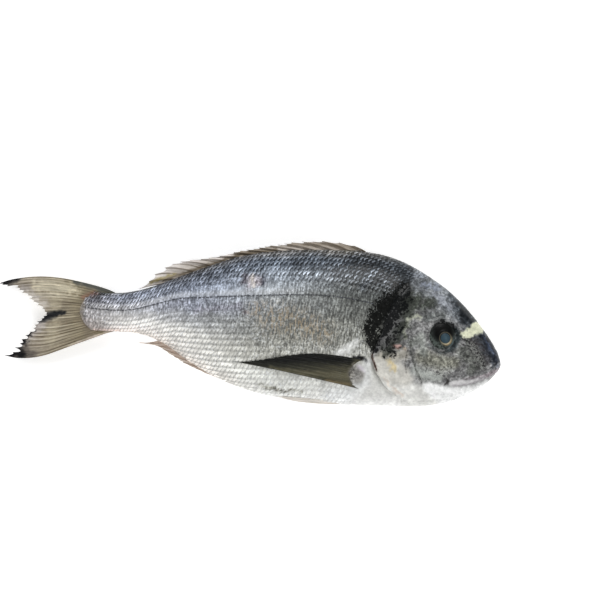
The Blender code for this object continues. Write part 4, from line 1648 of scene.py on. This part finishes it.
@dataclass
class Fin:
    """One fin: bony rays, which fork towards their tips, with a thin pleated web between them.

    Its rays are sampled lines, one after another across the fin.
    """

    name: str
    rays: Array
    paint: WebPaint
    seed: int
    cells: int = 8
    rows: int = 44
    thickness: float = 1.3
    notch: float = 0.07
    fray: float = 0.05
    pleat: float = 0.3
    forks: float = 0.2
    width: float = 0.11  # of a ray, as a share of the way to the next one
    stagger: float = 0.0
    web_share: float = 0.3  # of the rays' thickness that the web has
    tip_share: float = 0.32  # of its thickness that the fin keeps at its edge
    threads: float = 0.4  # how much finer lines show between the rays
    wave: float = 0.0
    lowest: float = 0.0
    streaks: float = 5.0
    contrast: float = 0.9

    def build(self) -> None:
        """Models and dresses the fin."""
        gaps = len(self.rays) - 1
        piece, across, along = Bench.sheet(self.name, gaps * self.cells, self.rows)
        piece.data.uv_layers[0].name = "web"
        column = across * gaps
        i = np.minimum(column.astype(int), gaps - 1)
        t = along * (1 - self.trim(column, i))
        points = mix(on_ray(self.rays, i, t), on_ray(self.rays, i + 1, t), (column - i)[:, None])
        points[:, 2] = np.maximum(points[:, 2] + self.sway(column, i, along), self.lowest)
        Bench.move(piece, place(points))
        ridge = self.ridge(column - i, along)
        strength = 0.78 + 0.3 * Grain(self.seed + 100)(column * 1.7, along * 2.5)
        thread = 0.5 + 0.5 * Grain(self.seed + 200)(column * 5.3, along * 1.6)
        line = np.clip(ridge * strength + self.threads * thread * (1 - ridge), 0, 1)
        Bench.tint(piece, self.paint.colours(line, along, points[:, 0], points[:, 1]))
        weights = mix(self.web_share, 1.0, ridge) * mix(1.0, self.tip_share, along)
        Bench.thicken(piece, self.thickness * MM, 0, weights)
        Bench.close(piece)
        finish = WebFinish(f"web_{self.name}", (gaps * self.streaks, 4.0), self.contrast)
        Bench.hand_over(piece, Slot.FIN_WEB, finish.material(), 80.0)

    def trim(self, column: Array, i: Array) -> Array:
        """The share that is worn off the edge of the fin.

        Args:
            column: each point's place across the fin, counted in rays.
            i: the ray before it.

        Returns:
            The share of the fin's length, more in the web than on the rays.
        """
        dice = np.random.default_rng(self.seed)
        rays = dice.uniform(0, 1, len(self.rays)) * self.fray
        rays[[0, -1]] = 0
        webs = dice.uniform(0.3, 1.5, len(self.rays)) * self.notch
        frayed = Grain(self.seed)(column * 3.1, np.full(len(column), 0.5))
        gap = np.sin(math.pi * (column - i)) ** 0.7
        return mix(rays[i], rays[i + 1], column - i) + gap * (webs[i] + 0.35 * self.fray * np.abs(frayed))

    def sway(self, column: Array, i: Array, along: Array) -> Array:
        """How far the fin's pleats, its staggered rays and its waves stand out.

        Args:
            column: each point's place across the fin, counted in rays.
            i: the ray before it.
            along: its share of the way from the root to the edge.

        Returns:
            The distance out from the fin's own plane.
        """
        fold = np.where(i % 2, 1, -1) * np.sin(math.pi * (column - i)) * smooth(0.05, 0.4, along)
        lean = np.cos(math.pi * column) * self.stagger * smooth(0.02, 0.3, along)
        return self.pleat * fold + lean + self.wave * np.sin(column * 0.9 + self.seed) * along**2

    def ridge(self, between: Array, along: Array) -> Array:
        """1 on a ray or on one of its branches, and 0 in the web, where between runs from ray to ray."""
        away = np.minimum(between, 1 - between)
        branches = bell(away - self.forks * smooth(0.3, 0.85, along), self.width)
        stem = bell(away, self.width) * (1 - smooth(0.3, 0.6, along) * (self.forks > 0) * 0.75)
        return np.maximum(branches, stem)


@dataclass
class MedianFin:
    """A fin that stands on the middle line of the back or the belly, laid back at an angle to it."""

    roots: Pair
    count: int
    edge: Callable[[Array], Array]
    above: int  # 1 on the back, -1 on the belly
    length: Line
    rake: Line
    root_depth: float = 1.5
    rake_at_root: float = 1.5

    def rays(self) -> Array:
        """The root, bend and tip of each ray."""
        made = []
        for back in np.linspace(*self.roots, self.count):
            slope = math.atan2(float(self.edge(back + 1) - self.edge(back - 1)), 2)
            inwards = slope - self.above * math.pi / 2
            root = np.array((back, float(self.edge(back))))
            root += self.root_depth * np.array((math.cos(inwards), math.sin(inwards)))
            rake = math.radians(float(self.rake(back)))
            start, end = slope + self.above * rake * self.rake_at_root, slope + self.above * rake
            reach = float(self.length(back)) + self.root_depth
            middle = root + reach / 2 * np.array((math.cos(start), math.sin(start)))
            tip = root + reach * np.array((math.cos(end), math.sin(end)))
            flat = bow(root, middle, tip)
            made.append(np.column_stack((flat, FORM.mid_plane(flat[:, 0]))))
        return np.array(made)


@dataclass
class CaudalFin:
    """The forked tail fin, whose outer rays start along the edges of the tail's root."""

    count: int = 25
    middle_root: Pair = (261.0, -0.4)
    fork: Pair = (291.5, -5.6)
    edges: tuple[Line, Line] = (
        Line((246, 12.6), (252, 14.6), (258, 15.9), (265, 16.9), (272, 17.7), (285, 18.6), (298, 17.9),
             (309, 15.8), (317, 13.4), (324.5, 10)),
        Line((243, -10), (250, -12.6), (256, -15.6), (269, -22), (279, -27), (288, -31.4), (298, -34.4),
             (306, -35.3), (314.5, -34.6)),
    )  # fmt: skip
    hollows: Pair = (3.6, 0.6)  # how far each lobe's hind edge curves away from the fork

    def rays(self) -> Array:
        """The fan from the upper to the lower lobe."""
        start, fork = np.array(self.middle_root), np.array(self.fork)
        made = []
        for spread in np.linspace(1, -1, self.count):
            lobe = 0 if spread >= 0 else 1
            edge, hollow = self.edges[lobe], self.hollows[lobe]
            backs = mix(edge.along[0], edge.along[-1], ALONG)
            outer = np.column_stack((backs, edge(backs)))
            centre = mix(start, fork, ALONG[:, None])
            share = abs(spread) ** mix(1.0, 1.2, ALONG)
            ray = mix(centre, outer, share[:, None])
            ray[:, 1] += hollow * 4 * share * (1 - share) * ALONG**3
            made.append(np.column_stack((ray, FORM.mid_plane(ray[:, 0]))))
        return np.array(made)


@dataclass
class PectoralFin:
    """A long pectoral fin laid back along its flank, or flat over the table for the lower one."""

    side: Side
    count: int = 15
    roots: tuple[Pair, ...] = ((88.0, -10.6), (87.6, -28.6))
    root_bulge: float = 7.4
    shortest: float = 118.0
    longest: float = 168.5
    upper_edge: Line = Line(
        (88, -10.6), (104, -9.6), (118, -10.2), (134, -13), (149, -17.2), (157, -19), (169, -21.2)
    )  # fmt: skip
    bows: Pair = (1.2, 1.0)
    lift: Line = Line((88, -0.3), (94, 0.5), (105, 1.1), (120, 1.5), (150, 1.2), (169, 0.8))
    table_height: float = 0.95

    def rays(self) -> Array:
        """The fan from its short upper ray to its long lower one. The rays end along the upper edge."""
        made = []
        for share in np.linspace(0, 1, self.count):
            root = np.array([mix(a, b, share) for a, b in zip(*self.roots, strict=True)])
            root[0] += self.root_bulge * 4 * share * (1 - share)
            end = mix(self.shortest, self.longest, share**0.8)
            tip = np.array((end, float(self.upper_edge(end))))
            middle = (root + tip) / 2 + np.array((0, mix(*self.bows, share)))
            flat = bow(root, middle, tip)
            out = np.full(len(flat), self.table_height)
            if self.side is Side.RIGHT:
                out = FORM.flank(flat[:, 0], flat[:, 1], 1) + self.lift(flat[:, 0])
            made.append(np.column_stack((flat, out)))
        return np.array(made)


@dataclass
class PelvicFin:
    """A pelvic fin folded back against the belly, beside the middle line."""

    side: Side
    count: int = 6
    start: float = 92.0
    lengths: Pair = (33.0, 46.0)
    widths: Triple = (5.0, 9.0, 5.0)
    from_middle: float = 1.6
    gaps: Triple = (-0.8, 1.5, 1.3)

    def belly_skin(self, back: float, aside: float) -> float:
        """Height of the belly's skin at this distance to the side of the middle plane."""
        low, high = FORM.outline(back)
        rises = np.linspace(0, 0.3, 121)
        return float(mix(low, high, np.interp(aside, FORM.reach(back, rises), rises)))

    def rays(self) -> Array:
        """The fan from its outer spine to its inner ray."""
        made = []
        for share in np.linspace(1, 0, self.count):
            length = mix(*self.lengths, share)
            ray = []
            for t, width, gap in zip((0, 0.5, 1), self.widths, self.gaps, strict=True):
                back = self.start + length * t
                aside = self.from_middle + width * share
                out = float(FORM.mid_plane(back)) + self.side.value * aside
                ray.append(np.array((back, self.belly_skin(back, aside) - gap, out)))
            made.append(bow(*ray))
        return np.array(made)


@dataclass
class FinBase:
    """The fleshy lobe that a pectoral fin grows from."""

    side: Side
    finish: Material
    centre: Pair = (89.6, -19.8)
    half_length: float = 6.6
    half_height: float = 8.4
    height: float = 1.1
    fold_height: float = 0.12
    folds: float = 22.0
    creases: float = 26.0
    painted_crease_shade: float = 0.28
    front: Colour = (150, 148, 144)
    hind: Colour = (106, 103, 97)
    # a painted highlight on the lobe's upper front
    sheen: Dab = Dab((210, 204, 214), ((84.5, -17, 2.6), (89, -14.4, 2.8)), 1, 0.9)

    def build(self) -> None:
        """Models and dresses the lobe."""
        piece, ball = Bench.ball(f"pectoral_base_{self.side.word}", 40, 24)
        behind, above, out = ball.T
        back = self.centre[0] + self.half_length * behind
        up = self.centre[1] + self.half_height * above
        folds = self.fold_height * np.sin(above * self.folds) * smooth(0.0, 0.7, behind)
        lift = self.height * out * np.abs(out) + folds * (out > 0.2)
        Bench.move(piece, place(FORM.point(back, FORM.turn_at(back, up) * self.side.value, lift)))
        rim = smooth(0.5, 0.95, np.hypot(behind, above)) * (1 - smooth(0.1, 0.6, behind))
        colours = linear(self.colours(behind, above, back, up))
        Bench.tint(piece, mix(colours, PAINT.skin(back, up), rim[:, None]))
        Bench.hold(piece, worms=0, ink=0)
        Bench.close(piece)
        Bench.hand_over(piece, Slot.SKIN, self.finish)

    def colours(self, behind: Array, above: Array, back: Array, up: Array) -> Array:
        """The lobe's colours, with a painted sheen and painted shade in its creases.

        Args:
            behind: each point's place along the lobe, from -1 to 1.
            above: its place up the lobe, from -1 to 1.
            back: its distance from the snout.
            up: its height.

        Returns:
            A colour for each point.
        """
        made = np.tile(np.array(self.front, float), (len(back), 1))
        made = wash(made, self.hind, smooth(0.1, 0.9, behind))
        made = wash(made, self.sheen.colour, self.sheen.cover(back, up))
        # painted shade in the lobe's creases
        waves = np.sin(above * self.creases + 2 * Grain(61)(back / 3, up / 3))
        creases = smooth(0.3, 0.9, waves) * smooth(-0.2, 0.4, behind)
        return made * (1 - self.painted_crease_shade * creases[:, None])


# ---- eyes


@dataclass
class Eye:
    """An eyeball with a clouded pupil, a gold crescent of iris and a dark surround."""

    side: Side
    finish: Material
    pupil_centre: Pair = (37.3, 9.6)
    pupil_radius: float = 3.3
    depth: float = 2.0
    proud: float = 0.55
    pupil_height: float = 0.55
    groove: float = 0.22  # round the pupil
    iris_height: float = 0.2
    skin: Colour = (84, 92, 88)
    freckle: Colour = (38, 42, 40)
    teal: Colour = (88, 102, 106)
    black: Colour = (9, 10, 10)
    gold: Colour = (132, 114, 82)
    cream: Colour = (214, 202, 172)
    pupil: Colour = (52, 70, 80)
    cloud: Colour = (74, 94, 104)

    def axes(self) -> tuple[Array, Array]:
        """Where the eye sits on the head, and its directions behind, above and outward."""
        back, up = EYE_CENTRE
        side = self.side.value
        spots = ((back, up), (back + 2, up), (back, up + 2))
        here, behind, above = (np.array((b, u, float(FORM.flank(b, u, side)))) for b, u in spots)
        outward = np.cross(behind - here, above - here)
        outward = Vector(outward * side * math.copysign(1, outward[2])).normalized()
        aside = (Vector((1, 0, 0)) - outward * outward.x).normalized()
        above = outward.cross(aside)
        if above.y < 0:
            above = -above
        return here, np.array((aside, above, outward))

    def build(self) -> None:
        """Models and dresses the eye."""
        piece, ball = Bench.ball(f"eye_{self.side.word}", 96, 80)
        here, axes = self.axes()
        flat = ball[:, :2] * EYE_RADIUS
        offset = flat - (np.array(self.pupil_centre) - np.array(EYE_CENTRE))
        away = np.hypot(*offset.T)
        past = away - self.pupil_radius
        front = self.pupil_height * (1 - smooth(0, self.pupil_radius, away))
        front += self.iris_height * bell(past - 1.2, 0.8) - self.groove * bell(past - 0.2, 0.5)
        out = self.depth * ball[:, 2] + smooth(0.0, 0.3, ball[:, 2]) * front + self.proud - self.depth
        Bench.move(piece, place(here + np.column_stack((flat, out)) @ axes))
        Bench.tint(piece, self.colours(away, np.arctan2(offset[:, 1], -offset[:, 0]), *flat.T))
        Bench.close(piece)
        Bench.hand_over(piece, Slot.EYE, self.finish)

    def colours(self, away: Array, bearing: Array, behind: Array, above: Array) -> Array:
        """The eye's colours as light.

        Args:
            away: distance from the pupil's centre.
            bearing: the direction from there, 0 towards the snout.
            behind: distance behind the eye's own centre.
            above: distance above it.

        Returns:
            A colour for each point.
        """
        wander = 0.25 * Grain(71)(bearing * 3 + 9, away * 0.2)
        specks = Grain(72)(behind * 1.4, above * 1.4)
        past = away - self.pupil_radius
        made = np.tile(np.array(self.skin, float), (len(away), 1))
        made = wash(made, self.freckle, smooth(-0.3, 0.4, specks))
        made = wash(made, self.teal, 0.7 * smooth(2.0, 7.0, -behind) * smooth(3.0, -4.0, above))
        made = wash(made, self.black, 1 - smooth(4.6, 8.8, np.hypot(behind, above - 2.8) + 1.2 * specks))
        ring = smooth(0.1, 0.6, past + wander) * (1 - smooth(1.2, 2.0, past + wander))
        made = wash(made, self.gold, ring * bell(bearing + 0.85, 0.95))
        thin = bell(past - 0.45, 0.36) * np.maximum(bell(bearing + 1.15, 1.35), 0.42)
        made = wash(made, self.cream, 0.85 * thin)
        made = wash(made, self.pupil, 1 - smooth(-0.4, 0, past + 0.3 * wander))
        made = wash(made, self.cloud, 0.6 * (1 - smooth(0, 2.4, away)))
        return linear(made)


# ---- the whole fish


DORSAL_PAINT = WebPaint(
    ray=((70, 58, 44), (82, 70, 56)),
    web=((196, 187, 176), (246, 241, 238)),
    dabs=(
        Dab((104, 92, 74), ((92, 60, 4), (120, 60, 3.4), (150, 56, 3), (175, 47, 3)), 1, 0.6),
        Dab((84, 72, 54), ((150, 52.6, 1.6), (172, 46.8, 1.7), (196, 35.8, 1.8), (213, 27.4, 1.6),
            (219, 24.6, 1)), 1, 0.65, 0.5),
        Dab((150, 137, 92), ((212, 29.6, 1.4), (222, 25, 1.6), (232, 20.6, 1.4)), 1, 0.8),
    ),
)
ANAL_PAINT = WebPaint(ray=((146, 118, 96), (158, 134, 114)), web=((214, 198, 186), (232, 222, 214)))
CAUDAL_PAINT = WebPaint(
    ray=((62, 53, 36), (112, 100, 84)),
    web=((172, 161, 126), (226, 219, 208)),
    dabs=(
        Dab((84, 86, 82), ((246, 13.4, 3), (256, 14.8, 4), (266, 16.2, 3.4), (275, 17.4, 2.2)), 0.9, 0.9),
        Dab((122, 112, 98), ((264, 10, 7), (267, -2, 7), (262, -14, 6)), 1, 0.6),
        Dab((216, 208, 184), ((274, 12, 5), (288, 12, 9), (300, 12, 6)), 1, 0.75, 2),
        Dab((206, 197, 168), ((286, 3, 7), (284, -12, 6), (286, -20, 8)), 1, 0.4, 2),
        Dab((158, 118, 100), ((262, 11, 3.2), (268, 8, 2.4)), 1, 0.6),
        Dab((206, 194, 186), ((250, -13, 2.6), (262, -18.4, 2.6), (274, -24.4, 1.6)), 1, 0.7),
        Dab((226, 222, 218), ((294, 0.5, 5), (301, 4.5, 5.6), (308, 7.5, 4)), 1, 0.5, 1.6),
        Dab((186, 180, 178), ((293, -11, 5), (300, -20, 6), (305, -28, 4)), 1, 0.75, 1.4),
        Dab((18, 18, 20), ((326, 9.4, 5.4), (318, 12, 5), (311, 15.6, 2.4)), 0.9, 0.97, 0.8),
        Dab((146, 140, 136), ((311, 8.6, 4.4), (304, 10, 3.4)), 1, 0.6, 1),
        Dab((14, 16, 20), ((294, -8.8, 4), (287, -5.4, 4.6), (279, -2.6, 2)), 0.9, 0.97, 0.6),
        Dab((84, 78, 74), ((304, -30, 8), (296, -33, 6)), 1, 0.8, 1.6),
        Dab((84, 78, 72), ((309, -30, 8), (303, -21, 5.6), (297, -11, 4)), 1, 0.6, 2.2),
        Dab((12, 12, 14), ((316, -36, 6), (307.4, -32.6, 6.8), (302, -33.6, 3.4)), 0.9, 0.98, 1.4),
        Dab((12, 12, 14), ((308.6, -30, 6.4), (303.4, -23, 5), (299, -16, 3.2)), 0.9, 0.95, 1.8),
    ),
)  # fmt: skip
PECTORAL_PAINT = WebPaint(
    ray=((46, 45, 36), (24, 25, 22)),
    web=((98, 94, 74), (44, 45, 38)),
    dabs=(
        Dab((104, 100, 80), ((96, -22, 4), (120, -23, 3.2), (145, -22, 1.4)), 1, 0.8),
        Dab((126, 112, 84), ((94, -27, 3), (108, -26.6, 2.6)), 1, 0.7),
        Dab((8, 9, 8), ((96, -12, 5), (120, -13, 6.4), (150, -18, 3.4)), 1, 0.92),
        Dab((122, 118, 110), ((92.5, -14, 1.8), (94.5, -20, 3), (91, -26, 2.4)), 1, 0.7),
    ),
)
PELVIC_PAINT = WebPaint(ray=((214, 208, 196), (206, 198, 186)), web=((236, 232, 226), (232, 226, 220)))


class Fish:
    """The whole fish."""

    def fins(self) -> list[Fin]:
        """All the fins, ready to be modelled."""
        dorsal_rays = MedianFin(
            (90.0, 213.0), 26, FORM.back_line, 1,
            Line((90, 11), (97, 19), (108, 25), (130, 24), (155, 18), (170, 17), (190, 21), (213, 21)),
            Line((90, 20), (100, 15), (111, 14), (122, 11), (133, 10.5), (154, 12.5), (165, 13), (176, 19),
                 (186, 27), (197, 28), (213, 8)),
        ).rays()  # fmt: skip
        anal_rays = MedianFin(
            (170.0, 216.0), 14, FORM.belly_line, -1,
            Line((170, 9), (176, 14), (190, 15), (205, 15), (216, 13)),
            Line((170, 8), (177, 9), (184, 13), (198, 17), (216, 36)),
        ).rays()  # fmt: skip
        made = [
            Fin(
                "dorsal_fin", dorsal_rays, DORSAL_PAINT, 41,
                notch=0.1, forks=0.0, stagger=0.5, pleat=0.4, fray=0.08, threads=0.2,
            ),
            Fin("anal_fin", anal_rays, ANAL_PAINT, 42, rows=30, forks=0.12),
            Fin(
                "caudal_fin", CaudalFin().rays(), CAUDAL_PAINT, 43, rows=70, cells=12, thickness=1.1,
                web_share=0.5, notch=0.05, forks=0.15, width=0.16, pleat=0.15, wave=0.5, lowest=0.7,
                threads=0.7, streaks=2.6, contrast=1.2,
            ),
            Fin(
                "pectoral_fin_right", PectoralFin(Side.RIGHT).rays(), PECTORAL_PAINT, 44, rows=60,
                thickness=0.8, notch=0.03, fray=0.03, pleat=0.22, threads=0.7, streaks=3.0,
            ),
            Fin(
                "pectoral_fin_left", PectoralFin(Side.LEFT).rays(), PECTORAL_PAINT, 45, thickness=0.9,
                notch=0.03, fray=0.02, pleat=0.1, lowest=0.5,
            ),
        ]  # fmt: skip
        for side in Side:
            rays = PelvicFin(side).rays()
            made.append(Fin(f"pelvic_fin_{side.word}", rays, PELVIC_PAINT, 46, notch=0.04, pleat=0.25))
        return made

    def build(self) -> None:
        """Models and dresses every piece."""
        Skin().build()
        scale_finish = ScaleFinish().material()
        line_finish = SkinFinish("line_tubes").material()
        base_finish = SkinFinish("fin_base").material()
        eye_finish = EyeFinish().material()
        for side in Side:
            Scales(side, scale_finish).build()
            LateralLine(side, line_finish).build()
            FinBase(side, base_finish).build()
            Eye(side, eye_finish).build()
        for fin in self.fins():
            fin.build()


# ---- the studio


@dataclass(frozen=True)
class Lamp:
    """A soft square lamp that faces the fish: its place and side in metres, and its power in watts."""

    name: str
    place: Triple
    size: float
    power: float

    def build(self) -> None:
        """Hangs the lamp up."""
        lamp = bpy.data.lights.new(self.name, "AREA")
        lamp.size, lamp.energy = self.size, self.power
        held = bpy.data.objects.new(self.name, lamp)
        held.location = self.place
        held.rotation_euler = (-Vector(self.place)).to_track_quat("-Z", "Y").to_euler()
        bpy.context.scene.collection.objects.link(held)


@dataclass
class Studio:
    """The table, the light and the camera."""

    lamps: tuple[Lamp, ...] = (
        Lamp("key_light", (0.35, 1.1, 0.9), 0.5, 9.0),
        Lamp("front_light", (1.2, -0.4, 0.9), 0.7, 6.5),
        Lamp("belly_light", (-0.2, -1.2, 0.9), 0.7, 6.5),
        Lamp("tail_light", (-1.2, 0.3, 0.9), 0.7, 5.5),
    )
    table_size: float = 8.0
    sky_strength: float = 0.25
    lens: float = 250.0
    sensor: float = 36.0
    clip_start: float = 0.01
    distance: float = 2.642
    azimuth: float = 7.0  # of the camera, in degrees
    elevation: float = 88.0
    target: Triple = (0.0289, 0.0122, 0.019)

    def build(self) -> None:
        """Sets the studio up."""
        self.table()
        self.sky()
        for lamp in self.lamps:
            lamp.build()
        self.camera()
        bpy.context.scene.view_settings.view_transform = "Standard"

    def table(self) -> None:
        """The plain white table top."""
        bpy.ops.object.select_all(action="DESELECT")
        bpy.ops.mesh.primitive_plane_add(size=self.table_size)
        top = bpy.context.active_object
        top.name = "table_top"
        top.data.materials.append(TableFinish().material())

    def sky(self) -> None:
        """Even white light from all round."""
        world = bpy.data.worlds.new("studio")
        bpy.context.scene.world = world
        world.use_nodes = True
        background = world.node_tree.nodes["Background"]
        background.inputs["Color"].default_value = WHITE
        background.inputs["Strength"].default_value = self.sky_strength

    def camera(self) -> None:
        """A long lens that looks down on the fish's right flank."""
        made = bpy.data.cameras.new("camera")
        made.lens = self.lens
        made.sensor_width = self.sensor
        made.clip_start = self.clip_start
        held = bpy.data.objects.new("camera", made)
        turn, height = math.radians(self.azimuth), math.radians(self.elevation)
        level = math.cos(height)
        away = Vector((math.sin(turn) * level, -math.cos(turn) * level, math.sin(height)))
        held.location = Vector(self.target) + away * self.distance
        held.rotation_euler = (math.pi / 2 - height, 0.0, turn)
        bpy.context.scene.collection.objects.link(held)
        bpy.context.scene.camera = held


def main() -> None:
    """Builds the fish and its studio."""
    logging.basicConfig(level=logging.INFO, format="%(name)s %(message)s")
    Fish().build()
    Studio().build()


if __name__ == "__main__":
    main()
